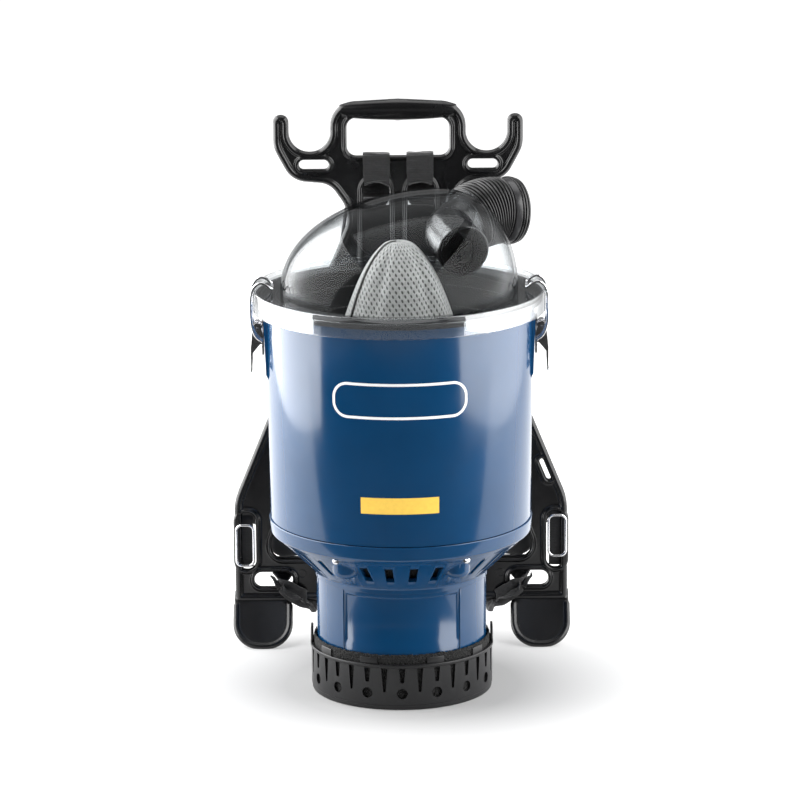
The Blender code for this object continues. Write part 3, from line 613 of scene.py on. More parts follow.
def woven(name, colour, pitch, roughness=0.88, strength=0.5, sheen=0.3):
    """Plain-woven fabric: two crossing sets of threads and a little fuzz; between the threads the colour
    is darker, as painted shade.
    """
    made = Nodes(name, colour, roughness)
    split = made.add("ShaderNodeSeparateXYZ")
    made.link(made.place, split.inputs["Vector"])
    turns = math.tau / pitch
    lean = made.maths("ADD", split.outputs["X"], made.maths("MULTIPLY", split.outputs["Y"], 0.6))
    warp = made.maths("SINE", made.maths("MULTIPLY", lean, turns))
    weft = made.maths("SINE", made.maths("MULTIPLY", split.outputs["Z"], turns))
    weave = made.maths("MULTIPLY", warp, weft)
    made.bump(made.ranged(weave, 0.0, 1.0, -1.0, 1.0), strength, pitch * 0.3)
    fuzz = made.noise(420.0, 5.0)
    made.bump(fuzz, 0.25, 0.0003)
    # Colour: random fuzz tone, plus painted shade that darkens the hollows of the weave.
    fuzz_tone_and_weave_shade = made.maths("ADD", made.maths("MULTIPLY", weave, 0.12),
                      made.maths("ADD", made.maths("MULTIPLY", fuzz, 0.5), 0.25))
    made.vary_colour(fuzz_tone_and_weave_shade, 0.65, 1.5)
    made.vary_roughness(fuzz, roughness - 0.05, min(1.0, roughness + 0.08))
    made.shader.inputs["Sheen Weight"].default_value = sheen
    return made.material


def ribbed_webbing(name, colour, pitch=0.0016):
    """Strap webbing: close cross ribs with a thread pattern over them; their hollows are painted a little
    darker, as painted shade.
    """
    made = Nodes(name, colour, 0.8)
    split = made.add("ShaderNodeSeparateXYZ")
    made.link(made.place, split.inputs["Vector"])
    ribs = made.maths("SINE", made.maths("MULTIPLY", split.outputs["Z"], math.tau / pitch))
    threads = made.maths("SINE", made.maths("MULTIPLY", split.outputs["X"], math.tau / (pitch * 0.7)))
    pattern = made.maths("ADD", made.maths("MULTIPLY", ribs, 0.7), made.maths("MULTIPLY", threads, 0.3))
    made.bump(made.ranged(pattern, 0.0, 1.0, -1.0, 1.0), 0.6, 0.0004)
    fuzz = made.noise(500.0, 4.0)
    # Colour: mostly random fuzz tone, with painted shade in the hollows of the ribs and threads.
    made.vary_colour(made.maths("ADD", made.maths("MULTIPLY", pattern, 0.1),
                                made.maths("MULTIPLY", fuzz, 0.9)), 0.6, 1.6)
    made.vary_roughness(fuzz, 0.68, 0.92)
    made.shader.inputs["Sheen Weight"].default_value = 0.25
    return made.material


def perforated(name, colour, across=0.0056, along=0.0082):
    """Non-woven filter cloth with staggered slanted punctures, laid out on its UV in metres; the
    punctures are painted dark, as painted shade inside them.
    """
    made = Nodes(name, colour, 0.85)
    coords = made.add("ShaderNodeTexCoord")
    split = made.add("ShaderNodeSeparateXYZ")
    made.link(coords.outputs["UV"], split.inputs["Vector"])
    u = made.maths("DIVIDE", split.outputs["X"], across)
    v = made.maths("DIVIDE", split.outputs["Y"], along)
    distances = []
    for shift in (0.0, 0.5):
        du = made.maths("SUBTRACT", made.maths("FRACT", made.maths("ADD", u, shift)), 0.5)
        dv = made.maths("SUBTRACT", made.maths("FRACT", made.maths("ADD", v, shift)), 0.5)
        slanted = made.maths("ADD", du, made.maths("MULTIPLY", dv, 0.35))
        wide = made.maths("POWER", made.maths("ABSOLUTE", made.maths("DIVIDE", slanted, 0.17)), 2.0)
        tall = made.maths("POWER", made.maths("ABSOLUTE", made.maths("DIVIDE", dv, 0.21)), 2.0)
        distances.append(made.maths("ADD", wide, tall))
    nearest = made.maths("MINIMUM", *distances)
    hole = made.ranged(nearest, 0.0, 1.0, 0.55, 1.35)
    fuzz = made.noise(300.0, 6.0)
    # Colour: a random fuzz tone times painted shade, dark inside the punctures.
    fuzz_tone_and_hole_shade = made.maths("MULTIPLY", hole, made.ranged(fuzz, 0.62, 1.0))
    ramp = made.add("ShaderNodeValToRGB")
    ramp.color_ramp.elements[0].color = (*[c * 0.16 for c in colour], 1.0)
    ramp.color_ramp.elements[1].color = (*colour, 1.0)
    made.link(fuzz_tone_and_hole_shade, ramp.inputs["Fac"])
    made.link(ramp.outputs["Color"], made.shader.inputs["Base Color"])
    made.bump(hole, 0.8, 0.0006)
    made.bump(fuzz, 0.35, 0.0004)
    made.vary_roughness(fuzz, 0.75, 0.95)
    made.shader.inputs["Sheen Weight"].default_value = 0.2
    return made.material


def open_foam(name, colour):
    """Open-cell foam, with painted shade in its pores."""
    made = Nodes(name, colour, 0.95)
    cells = made.add("ShaderNodeTexVoronoi", Scale=650.0)
    made.link(made.place, cells.inputs["Vector"])
    # Painted shade: each cell is darkest in its pit and lighter at its walls.
    made.vary_colour(cells.outputs["Distance"], 0.25, 2.6)
    made.bump(cells.outputs["Distance"], 1.0, 0.0012)
    made.vary_roughness(made.noise(200.0), 0.85, 1.0)
    return made.material


def printed(name, colour):
    """A printed film label: flat colour with slight ink mottling."""
    made = Nodes(name, colour, 0.35)
    made.vary_colour(made.noise(260.0, 5.0), 0.95, 1.04)
    made.vary_roughness(made.noise(40.0), 0.25, 0.42)
    made.bump(made.noise(1200.0), 0.03, 0.0001)
    return made.material


def floor_material():
    """Matt white; it glows behind the object, as a lit backdrop does."""
    made = Nodes("studio_floor", (0.36, 0.36, 0.36), 0.9)
    made.vary_colour(made.noise(0.8), 0.99, 1.01)
    made.shader.inputs["Specular IOR Level"].default_value = 0.0
    split = made.add("ShaderNodeSeparateXYZ")
    made.link(made.place, split.inputs["Vector"])
    made.shader.inputs["Emission Color"].default_value = (1.0, 1.0, 1.0, 1.0)
    x, y = split.outputs["X"], split.outputs["Y"]
    reach = made.length(x, y)
    glow = made.maths("MULTIPLY", made.ranged(reach, 0.10, 1.0, 0.11, 0.34),
                      made.ranged(y, 0.35, 1.0, -1.0, -0.5))
    made.link(glow, made.shader.inputs["Emission Strength"])
    return made.material


FINISHES = {
    "blue_plastic": moulded("blue_plastic", (0.0022, 0.042, 0.118), 0.16, 0.03, 0.30, 0.03),
    "black_moulded": moulded("black_moulded", (0.0045, 0.0045, 0.0050), 0.24, 0.10, 0.0, 0.05),
    "black_satin": moulded("black_satin", (0.0070, 0.0070, 0.0078), 0.36, 0.16),
    "clear_plastic": clear("clear_plastic"),
    "grey_rubber": rubber("grey_rubber", (0.014, 0.014, 0.015), 0.42),
    "black_rubber": rubber("black_rubber", (0.0050, 0.0050, 0.0055), 0.34),
    "grey_cloth": perforated("grey_cloth", (0.40, 0.40, 0.385)),
    "black_cloth": woven("black_cloth", (0.008, 0.008, 0.009), 0.0011),
    "webbing": ribbed_webbing("webbing", (0.0085, 0.0085, 0.0095)),
    "foam": open_foam("foam", (0.005, 0.005, 0.005)),
    "chrome": metal("chrome", (0.80, 0.80, 0.82), 0.12),
    "steel": metal("steel", (0.56, 0.56, 0.57), 0.30, (1.0, 1.0, 14.0)),
    "grey_plastic": moulded("grey_plastic", (0.20, 0.20, 0.21), 0.45, 0.12),
    "white_print": printed("white_print", (0.90, 0.90, 0.90)),
    "yellow_print": printed("yellow_print", (0.93, 0.60, 0.09)),
    "liner_cloth": woven("liner_cloth", (0.014, 0.014, 0.015), 0.0014),
    "neck_grey": moulded("neck_grey", (0.035, 0.035, 0.037), 0.22, 0.04),
    "stitching": woven("stitching", (0.055, 0.055, 0.058), 0.0009, 0.7, 0.4, 0.1),
}


# ---------------------------------------------------------------- exhaust end
def exhaust_cover():
    """The foot cover with its slots."""
    inner = COVER_R - 0.002
    top = 0.044
    profile = rounded([(0.0, 0.0, 0.0), (COVER_R - 0.0005, 0.0, 0.0016), (COVER_R - 0.0005, 0.0045, 0.0),
                       (COVER_R, 0.0050, 0.0002), (COVER_R, top - 0.0032, 0.0004),
                       (COVER_R + 0.001, top - 0.0024, 0.0003), (COVER_R + 0.001, top, 0.0006),
                       (inner, top, 0.0006), (inner, 0.0030, 0.0015), (0.0, 0.0030, 0.0)])
    shell = lathe("exhaust_cover_shell", profile, 192, closed=False)
    bays, cutters = 16, []
    for i in range(bays):
        angle = math.tau * i / bays - math.pi / 2
        across = Vector((math.cos(angle), math.sin(angle), 0.0))
        cutters.append(drum(0.0051, 0.012, aimed(across, across * COVER_R + Vector((0, 0, 0.016))), 20))
        cutters.append(cover_slot(angle, 0.0265, 0.0018))
        cutters.append(cover_slot(angle + math.pi / bays, 0.0175, 0.0012))
    shell = cut(shell, together("cuts", cutters))
    tabs = []
    for side in (1, -1):
        tabs.append(block((side * 0.0849 - 0.0011, -0.006, 0.040), (side * 0.0849 + 0.0011, 0.006, 0.060),
                          0.0006))
        tabs.append(block((side * 0.0856 - 0.0006, -0.0035, 0.043),
                          (side * 0.0856 + 0.0006, 0.0035, 0.0575), 0.0004))
    for degrees in (32, 68, 112, 148, 212, 248, 292, 328):
        turn = about_z(degrees)
        frame_clip = moved(block((inner - 0.0036, -0.0085, 0.0400), (inner + 0.0004, 0.0085, 0.0500),
                                 0.0005), turn)
        well = moved(block((inner - 0.0030, -0.0070, 0.0440), (inner - 0.0006, 0.0070, 0.0520)), turn)
        tabs.append(cut(frame_clip, well))
    piece("exhaust_cover_shell", together("exhaust_cover_shell", [shell] + tabs), "black_satin",
          replaces=["exhaust_cover"])


def cover_slot(angle, foot_z, foot_half, top_z=0.0405, top_half=0.0030):
    """One tapering slot cutter of the cover."""
    outline = rounded([(-foot_half, foot_z, 0.0009), (foot_half, foot_z, 0.0009),
                       (top_half, top_z, 0.0007), (-top_half, top_z, 0.0007)], 30)
    return plate([outline], 0.012, Matrix.Rotation(angle + math.pi / 2, 4, "Z") @ upright(-COVER_R))


def exhaust_foam():
    """The foam wrap, with a ragged top edge."""
    low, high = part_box("exhaust_foam")
    outer, inner = high.y - 0.0003, BARREL_R + 0.0008
    steps, points, rings = 420, [], []
    for radius, z, rough in ((outer, low.z, 0.0), (inner, low.z, 0.0), (inner, high.z - 0.001, 0.4),
                             (inner + 0.0006, high.z, 1.0), ((inner + outer) / 2, high.z + 0.0004, 1.3),
                             (outer - 0.0004, high.z, 1.0), (outer, high.z - 0.001, 0.8),
                             (outer, high.z - 0.0035, 0.6), (outer, high.z - 0.006, 0.4)):
        new_ring(points, rings, steps)
        for k in range(steps):
            angle = math.tau * k / steps
            rag = rough * 0.0011 * noise.noise(Vector((math.cos(angle) * 60, math.sin(angle) * 60,
                                                       z * 900)))
            out = radius + rag * 0.5
            points.append((out * math.cos(angle), out * math.sin(angle), z + rag))
    piece("foam_wrap", mesh_of("foam_wrap", points, ring_faces(rings, True)), "foam",
          replaces=["exhaust_foam"], angle=60)


def motor_barrel():
    """The blue barrel: a front and a back panel are let in between vertical steps."""
    half_panel, step = math.radians(41.4), math.radians(0.9)
    heights = rounded([(BARREL_LOW.z, 0.0, 0.0), (BARREL_LOW.z + 0.0215, 0.0, 0.0),
                       (BARREL_LOW.z + 0.0250, 1.0, 0.0), (BARREL_HIGH.z - 0.005, 1.0, 0.0),
                       (BARREL_HIGH.z - 0.003, 0.0, 0.0), (BARREL_HIGH.z, 0.0, 0.0)])
    angles = sorted({math.tau * k / 200 for k in range(200)}
                    | {(base + s * half_panel + t * step) % math.tau
                       for base in (-math.pi / 2, math.pi / 2) for s in (1, -1) for t in (-1.4, -1, 0, 1,
                                                                                          1.4)})
    points, rings = [], []
    wall = 0.0035

    def depth(angle):
        nearest = min(abs((angle - base + math.pi) % math.tau - math.pi) for base in (-math.pi / 2,
                                                                                      math.pi / 2))
        return max(0.0, min(1.0, (half_panel + step - nearest) / (2 * step)))

    for z, share in heights:
        new_ring(points, rings, len(angles))
        for angle in angles:
            radius = BARREL_R - 0.0017 * depth(angle) * share
            points.append((radius * math.cos(angle), radius * math.sin(angle), z))
    for z in (BARREL_HIGH.z, BARREL_LOW.z):
        new_ring(points, rings, len(angles))
        for angle in angles:
            points.append(((BARREL_R - wall) * math.cos(angle), (BARREL_R - wall) * math.sin(angle), z))
    shell = mesh_of("motor_barrel", points, ring_faces(rings, True))
    floor = lathe("barrel_floor", [(BARREL_R - wall + 0.0002, 0.049), (BARREL_R - wall + 0.0002, 0.046),
                                   (0.024, 0.046), (0.024, 0.049)], 96)
    ribs = []
    for base in (-90, 90):
        for side in (1, -1):
            turn = about_z(base + side * 43.0)
            ribs.append(moved(block((BARREL_R - 0.0012, -0.0011, BARREL_LOW.z + 0.004),
                                    (BARREL_R + 0.0009, 0.0011, BARREL_HIGH.z - 0.0005), 0.0008), turn))
    piece("motor_barrel", together("motor_barrel", [shell, floor] + ribs), "blue_plastic",
          replaces=["motor_housing"], angle=28)


def vent_skirt():
    """The blue skirt with air slots and four sunk screw bosses."""
    top_r = SKIRT_HIGH.y
    foot, top = SKIRT_LOW.z, SKIRT_HIGH.z
    profile = rounded([(top_r, top, 0.0007), (top_r - 0.0012, 0.1548, 0.0030), (0.1150, 0.1485, 0.0040),
                       (0.0812, 0.1160, 0.0030), (0.0812, foot, 0.0004), (0.0765, foot, 0.0),
                       (0.0765, 0.1175, 0.0), (0.1130, 0.1530, 0.002), (top_r - 0.0032, top, 0.0004)], 15)
    skirt = lathe("vent_skirt", profile, FINE)
    slope = math.atan2(0.1485 - 0.1160, 0.1150 - 0.0812)
    front = [-18.8, -6.3, 6.3, 18.8]
    flank = [44 + 11.5 * i for i in range(9)]
    wide, slots = front + [180 + a for a in front], []
    for degrees in wide + flank + [-a for a in flank]:
        turn = about_z(degrees)
        lean = Matrix.Translation((0, -0.1000, 0.1350)) @ Matrix.Rotation(-slope, 4, "X")
        half = 0.0038 if degrees in wide else 0.0027
        slots.append(moved(block((-half, -0.0130, -0.0090), (half, 0.0125, 0.0090), 0.0008, 2),
                           turn @ lean))
    skirt = cut(skirt, together("slots", slots))
    bosses, recesses, screws = [], [], []
    form = rounded([(0.0, 0.0, 0.0), (0.0128, 0.0, 0.0075), (0.0122, 0.0200, 0.0), (0.0, 0.0200, 0.0)],
                   12)
    for degrees in (31.5, 148.5, 211.5, 328.5):
        turn = about_z(degrees)
        bosses.append(moved(lathe("boss", form, 40, closed=False),
                            turn @ Matrix.Translation((0, -0.0985, 0.1290))))
        recesses.append(drum(0.0084, 0.0200, turn @ Matrix.Translation((0, -0.0995, 0.1290)), 40))
        seat = turn @ Matrix.Translation((0, -0.1152, 0.1500)) @ Matrix.Rotation(math.radians(62), 4, "X")
        screws.append(moved(screw_head(0.0042), seat))
    skirt = cut(skirt, together("bosses", bosses), operation="UNION")
    skirt = cut(skirt, together("recesses", recesses))
    piece("vent_skirt", bevelled(skirt, 0.0005, 2, 50), "blue_plastic", replaces=["vent_housing"])
    piece("skirt_screws", together("skirt_screws", screws), "chrome")
    liner = lathe("skirt_filter",
                  [(0.1060, 0.1500), (0.0790, 0.1230), (0.0770, 0.1240), (0.1040, 0.1515)], 96)
    piece("skirt_filter", liner, "foam")


def screw_head(radius):
    """A pan head with a cross recess, its top at +Z."""
    height = radius * 0.45
    head = lathe("head", rounded([(0.0, height, 0.0), (radius * 0.7, height, radius * 0.3),
                                  (radius, 0.0, 0.0),
                                  (0.0, 0.0, 0.0)], 15), 32, closed=False)
    bars = [block((-radius * 0.5, -radius * 0.11, height * 0.4),
                  (radius * 0.5, radius * 0.11, height * 2)),
            block((-radius * 0.11, -radius * 0.5, height * 0.4),
                  (radius * 0.11, radius * 0.5, height * 2))]
    return cut(head, *bars)


# ---------------------------------------------------------------- canister
def canister_shell():
    """The blue canister, open at the top."""
    profile = rounded([(CAN_TOP_R, CAN_TOP_Z, 0.0008), (CAN_TOP_R - 0.002, CAN_FOOT_Z, 0.0007),
                       (0.105, CAN_FOOT_Z, 0.0), (0.105, 0.1708, 0.0), (CAN_TOP_R - 0.005, 0.1708, 0.002),
                       (CAN_TOP_R - CAN_WALL, CAN_TOP_Z, 0.0008)], 20)
    piece("canister_shell", lathe("canister_shell", profile, 192), "blue_plastic", replaces=["canister"])
    for side, word in SIDES:
        outline = rounded([(side * x, z, r) for x, z, r in
                           ((0.1215, 0.3640, 0.0), (0.1258, 0.3655, 0.0010), (0.1264, 0.3610, 0.002),
                            (0.1263, 0.3480, 0.006), (0.1247, 0.3070, 0.001), (0.1212, 0.3000, 0.0))])
        piece("latch_pad_" + word, bevelled(plate([outline], 0.0355, upright(0.0)), 0.0012, 2),
              "blue_plastic")


def can_radius(z):
    """The canister's outer radius at a height."""
    share = (z - CAN_FOOT_Z) / (CAN_TOP_Z - CAN_FOOT_Z)
    return CAN_TOP_R - 0.002 * (1 - share)


def on_canister(u, z, lift):
    """A point on the canister's front, u metres round it from the middle."""
    angle = u / CAN_TOP_R
    radius = can_radius(z) + lift
    return (radius * math.sin(angle), -radius * math.cos(angle), z)


def film(name, rows, finish):
    """A thin label on the canister from rows of (u, z) points; the last row may meet the first."""
    points = []
    rings = []
    for row in rows:
        ring = []
        for lift, order in ((0.00022, row), (-0.0004, list(reversed(row)))):
            for u, z in order:
                ring.append(len(points))
                points.append(on_canister(u, z, lift))
        rings.append(ring)
    closed = rows[0] == rows[-1]
    faces = ring_faces(rings[:-1] if closed else rings, closed)
    if not closed:
        faces += [list(rings[0]), list(reversed(rings[-1]))]
    piece(name, mesh_of(name, points, faces), finish)


def labels():
    """A blank rounded frame and a plain colour band on the canister's front."""
    half, low, high, line = 0.0650, 0.2893, 0.3232, 0.0025
    outer = rectangle(0.0, (low + high) / 2, 2 * half, high - low, 0.0150, 8)
    inner = rectangle(0.0, (low + high) / 2, 2 * (half - line), high - low - 2 * line, 0.0150 - line, 8)
    rows = []
    for i, (a, b) in enumerate(zip(outer, inner)):
        after_a, after_b = outer[(i + 1) % len(outer)], inner[(i + 1) % len(inner)]
        pieces = max(1, round(math.dist(a, after_a) / 0.004))
        for k in range(pieces):
            share = k / pieces
            rows.append([(a[0] + (after_a[0] - a[0]) * share, a[1] + (after_a[1] - a[1]) * share),
                         (b[0] + (after_b[0] - b[0]) * share, b[1] + (after_b[1] - b[1]) * share)])
    rows.append(rows[0])
    film("badge_outline", rows, "white_print")
    left, right = -0.0378, 0.0362
    columns = [left + (right - left) * k / 24 for k in range(25)]
    film("colour_band", [[(u, 0.1996), (u, 0.2150)] for u in columns], "yellow_print")


# ---------------------------------------------------------------- filter
def filter_cloth():
    """The cloth cone: slightly slack, with pleats gathered at its rounded tip."""
    profile = [(0.1118, 0.1850), (0.1045, 0.2060), (0.0960, 0.2300), (0.0870, 0.2550), (0.0780, 0.2800),
               (0.0690, 0.3050), (0.0605, 0.3290), (0.0540, 0.3480), (0.0490, 0.3640), (0.0440, 0.3780),
               (0.0390, 0.3900), (0.0340, 0.4010), (0.0290, 0.4100), (0.0235, 0.4180), (0.0182, 0.4240),
               (0.0135, 0.4278), (0.0080, 0.4298), (0.0020, 0.4303)]
    fine = [(p.x, p.y) for p in through([(r, z, 0) for r, z in profile], 3)]
    steps, wall = 144, 0.0011
    mesh = bmesh.new()
    uv = mesh.loops.layers.uv.new("UVMap")
    rings, slant = [], []
    along = 0.0
    for i, (radius, z) in enumerate(fine):
        if i:
            along += math.dist(fine[i], fine[i - 1])
        ring = []
        for k in range(steps):
            angle = math.tau * k / steps
            ring.append(mesh.verts.new(cloth_point(radius, z, angle)))
        rings.append(ring)
        slant.append(along)
    for i in range(len(rings) - 1):
        for k in range(steps):
            n = (k + 1) % steps
            face = mesh.faces.new((rings[i][k], rings[i][n], rings[i + 1][n], rings[i + 1][k]))
            for loop, (row, column) in zip(face.loops, ((i, k), (i, k + 1), (i + 1, k + 1), (i + 1, k))):
                around = math.tau * (column - steps * 0.75) / steps
                loop[uv].uv = (around * max(0.030, fine[row][0]), slant[row])
    mesh.faces.new(rings[-1])
    data = bpy.data.meshes.new("filter_cloth")
    mesh.to_mesh(data)
    mesh.free()
    obj = linked("thickened", data)
    solid = obj.modifiers.new("Solidify", "SOLIDIFY")
    solid.thickness = wall
    solid.offset = -1.0
    bpy.context.view_layer.update()
    thick = bpy.data.meshes.new_from_object(obj.evaluated_get(bpy.context.evaluated_depsgraph_get()))
    bpy.data.objects.remove(obj, do_unlink=True)
    cloth = piece("filter_cloth", thick, "grey_cloth", replaces=["filter_cone"], angle=60)
    seam = [Vector(cloth_point(r + 0.0007, z, math.radians(205))) for r, z in fine]
    piece("filter_seam", wire("filter_seam", seam, 0.0012, 8), "grey_cloth")


def dust_liner():
    """The dark cloth liner that hangs inside the canister, with a stitched hem."""
    high, low, steps = 0.3742, 0.1900, 144
    rings, points = [], []
    for radius, z in [(0.1172, low), (0.1172, 0.25), (0.1175, 0.31), (0.1180, high),
                      (0.1170, high + 0.0008),
                      (0.1164, high - 0.0010), (0.1163, 0.31), (0.1160, 0.25), (0.1160, low)]:
        new_ring(points, rings, steps)
        for k in range(steps):
            angle = math.tau * k / steps
            out = radius + 0.0011 * noise.noise(Vector((math.cos(angle) * 4, math.sin(angle) * 4, z * 9)))
            points.append((out * math.cos(angle), out * math.sin(angle), z))
    liner = piece("dust_liner", mesh_of("dust_liner", points, ring_faces(rings, True)), "liner_cloth",
                  angle=60)
    stitches = []
    for z in (high - 0.010, high - 0.030):
        for k in range(150):
            angle = math.tau * k / 150
            at = Vector((0.1152 * math.cos(angle), 0.1152 * math.sin(angle), z))
            stitches.append(moved(block_of(0.0016, 0.0006, 0.0006),
                                  aimed(Vector((-at.y, at.x, 0)).normalized(), at)
                                  @ QUARTER_Y))
    piece("liner_stitches", together("liner_stitches", stitches), "stitching")


def block_of(x, y, z):
    """A block centred on the origin, from its half sizes."""
    return block((-x, -y, -z), (x, y, z))


def cloth_point(radius, z, angle):
    """A point of the cone: nearly round at its foot, flattened and creased near its tip."""
    share = max(0.0, min(1.0, (z - 0.330) / 0.100))
    front = (angle + math.pi / 2 + math.pi) % math.tau - math.pi
    creases = 0.0
    for centre, slope in ((-0.55, -0.9), (0.62, 0.9), (2.4, 0.0), (-2.5, 0.0)):
        away = front - centre * (1.0 + 0.2 * slope * share)
        creases += math.exp(-(away / 0.16) ** 2) - 0.7 * math.exp(-((away - 0.30) / 0.20) ** 2)
    sway = noise.noise(Vector((math.cos(angle) * 1.6, math.sin(angle) * 1.6, z * 18)))
    out = radius * (1 - 0.125 * creases * share * (1 - 0.5 * share)) + 0.0016 * sway * min(1.0,
                                                                                           radius / 0.02)
    return (out * math.cos(angle), out * math.sin(angle), z)


# ---------------------------------------------------------------- lid
def dome_form(shrink, foot_z, rings=26, around=144):
    """The dome's profile turned about the axis."""
    radius, height = DOME_R - shrink, DOME_H - shrink
    points, loops = [], []
    loops.append(list(range(around)))
    for k in range(around):
        angle = math.tau * k / around
        points.append((radius * math.cos(angle), radius * math.sin(angle), foot_z))
    for i in range(rings):
        share = math.cos(math.pi / 2 * i / rings)
        rise = (1 - share ** DOME_POWER) ** (1 / DOME_POWER)
        new_ring(points, loops, around)
        for k in range(around):
            angle = math.tau * k / around
            rim = Vector((radius * math.cos(angle), radius * math.sin(angle)))
            at = DOME_APEX + (rim - DOME_APEX) * share
            points.append((at.x, at.y, FLANGE_Z + height * rise))
    loops.append([len(points)] * around)
    points.append((*DOME_APEX, FLANGE_Z + height))
    faces = ring_faces(loops, False) + [list(reversed(loops[0]))]
    form = mesh_of("dome_form", points, faces)
    beyond = moved(block((-0.3, -0.3, -shrink), (0.3, 0.3, 0.3)), aimed(PORT_AXIS, PORT_CENTRE))
    return cut(form, beyond)


def clear_lid():
    """The clear dome, one thin skin."""
    skirt_in = LID_R - 0.0025
    low = FLANGE_Z - FLANGE_T
    profile = rounded([(skirt_in + 0.0006, LID_LIP_Z, 0.0006), (LID_R, LID_LIP_Z, 0.0011),
                       (LID_R, LID_FOOT_Z, 0.0006),
                       (skirt_in, LID_FOOT_Z, 0.0004), (skirt_in, low, 0.0006),
                       (DOME_R - 0.0025, low, 0.0),
                       (DOME_R - 0.0025, FLANGE_Z, 0.0), (skirt_in, FLANGE_Z, 0.0008)], 18)
    collar = lathe("collar", profile, FINE)
    notches = []
    for side in (1, -1):
        notches.append(block((side * 0.144 - 0.012, -0.0165, FLANGE_Z),
                             (side * 0.144 + 0.012, 0.0165, 0.395)))
    collar = cut(collar, together("notches", notches))
    shell = cut(collar, dome_form(0.0, low), operation="UNION")
    hole = drum(PORT_R, 0.030, aimed(PORT_AXIS, PORT_CENTRE), 72)
    shell = cut(shell, dome_form(DOME_WALL, FLANGE_Z - 0.010), hole)
    lid = piece("clear_lid", shell, "clear_plastic", "lid", ["lid_dome"], angle=24)
    lid.visible_shadow = False
    ring = [(PORT_R + 0.0002, 0.0002), (PORT_R + 0.0002, 0.0026), (PORT_R + 0.0050, 0.0026),
            (PORT_R + 0.0050, 0.0002)]
    port = moved(lathe("port_ring", rounded([(r, z, 0.0008) for r, z in ring], 30), 96),
                 aimed(PORT_AXIS, PORT_CENTRE))
    port_ring = piece("port_ring", port, "clear_plastic", "lid")
    port_ring.visible_shadow = False


def seal():
    """The rubber seal under the lid's flange, with fine lips on its top."""
    low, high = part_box("lid_seal")
    inner, outer = 0.1136, high.x
    corners = [(outer, high.z, 0.0008), (outer, low.z, 0.0008), (inner, low.z, 0.0008),
               (inner, high.z, 0.0008)]
    lips = 5
    for k in range(lips):
        start = inner + 0.0015 + (outer - inner - 0.003) * k / lips
        corners += [(start, high.z, 0.0), (start + 0.0009, high.z - 0.0010, 0.0),
                    (start + 0.0018, high.z, 0.0)]
    piece("seal_ring", lathe("seal_ring", rounded(corners, 20), FINE), "grey_rubber", "lid", ["lid_seal"])


def elbow():
    """The black elbow inside the dome, with a rolled lip at its open mouth."""
    start = PORT_CENTRE + PORT_AXIS * 0.002
    down = (ELBOW_MOUTH - ELBOW_KNEE).normalized()
    path = through([start, PORT_CENTRE - PORT_AXIS * 0.010, ELBOW_KNEE + (PORT_AXIS + down) * 0.0035,
                    ELBOW_KNEE + down * 0.016, ELBOW_MOUTH + down * 0.0008], 8)
    length = length_of(path)
    outer, bore = 0.0239, 0.0213
    profile = [(0.0, bore), (0.0, outer)]
    profile += [(length * k / 16, outer) for k in range(1, 15)]
    profile += [(length - 0.0040, outer), (length - 0.0034, outer + 0.0007),
                (length - 0.0008, outer + 0.0007),
                (length, outer - 0.0002), (length, bore + 0.0004), (length - 0.0008, bore)]
    profile += [(length * k / 16, bore) for k in range(15, 0, -1)]
    piece("elbow_pipe", bent_lathe("elbow_pipe", path, profile, 72), "black_moulded", "lid",
          ["inlet_elbow"])


# ---------------------------------------------------------------- hose cuff
def ribbed_cuff():
    """The swivel cuff: close ribs that fan out round its bend, then a hard cone and ring."""
    knots = [CUFF_START, CUFF_START + PORT_AXIS * 0.012,
             CUFF_START + PORT_AXIS * 0.026 + Vector((0.002, 0.0, -0.002)),
             CUFF_START + PORT_AXIS * 0.040 + Vector((0.006, 0.0, -0.007))]
    path = through(knots, 10)
    length = length_of(path)
    ribs, bore, ribbed = 12, 0.0215, length * 0.84
    profile = [(0.0, bore), (0.0, 0.0295)]
    pitch = (ribbed - 0.001) / ribs
    for k in range(ribs):
        at = 0.0006 + pitch * k
        crest = 0.0316 + 0.0010 * math.sin(math.pi * (k + 1) / (ribs + 1))
        for share, radius in ((0.00, crest - 0.0019), (0.12, crest - 0.0004), (0.24, crest),
                              (0.50, crest),
                              (0.62, crest - 0.0004), (0.74, crest - 0.0019)):
            profile.append((at + pitch * share, radius))
    profile += [(ribbed, 0.0288), (length, 0.0272), (length, bore)]
    profile += [(length * k / 8, bore) for k in range(7, 0, -1)]
    piece("ribbed_cuff", bent_lathe("ribbed_cuff", path, profile, 96), "black_rubber", "cuff",
          ["hose_cuff"])
    along = (path[-1] - path[-2]).normalized()
    end = aimed(along, path[-1])
    neck = rounded([(0.0300, -0.0062, 0.0004), (0.0318, 0.0000, 0.0004), (0.0276, 0.0006, 0.0),
                    (0.0274, -0.0062, 0.0)], 25)
    piece("grey_neck", moved(lathe("grey_neck", neck, 96), end), "neck_grey", "cuff")
    profile = rounded([(0.0276, 0.0008, 0.0), (0.0322, 0.0004, 0.0004), (0.0326, 0.0022, 0.0004),
                       (0.0306, 0.0026, 0.0003), (0.0306, 0.0034, 0.0003), (0.0322, 0.0038, 0.0004),
                       (0.0320, 0.0056, 0.0004), (0.0300, 0.0060, 0.0003), (0.0300, 0.0068, 0.0003),
                       (0.0314, 0.0072, 0.0004), (0.0308, 0.0092, 0.0005), (0.0276, 0.0092, 0.0004),
                       (0.0240, 0.0070, 0.0), (0.0192, 0.0008, 0.0)], 25)
    piece("end_ring", moved(lathe("end_ring", profile, 96), end), "black_moulded", "cuff",
          ["cuff_end_ring"])


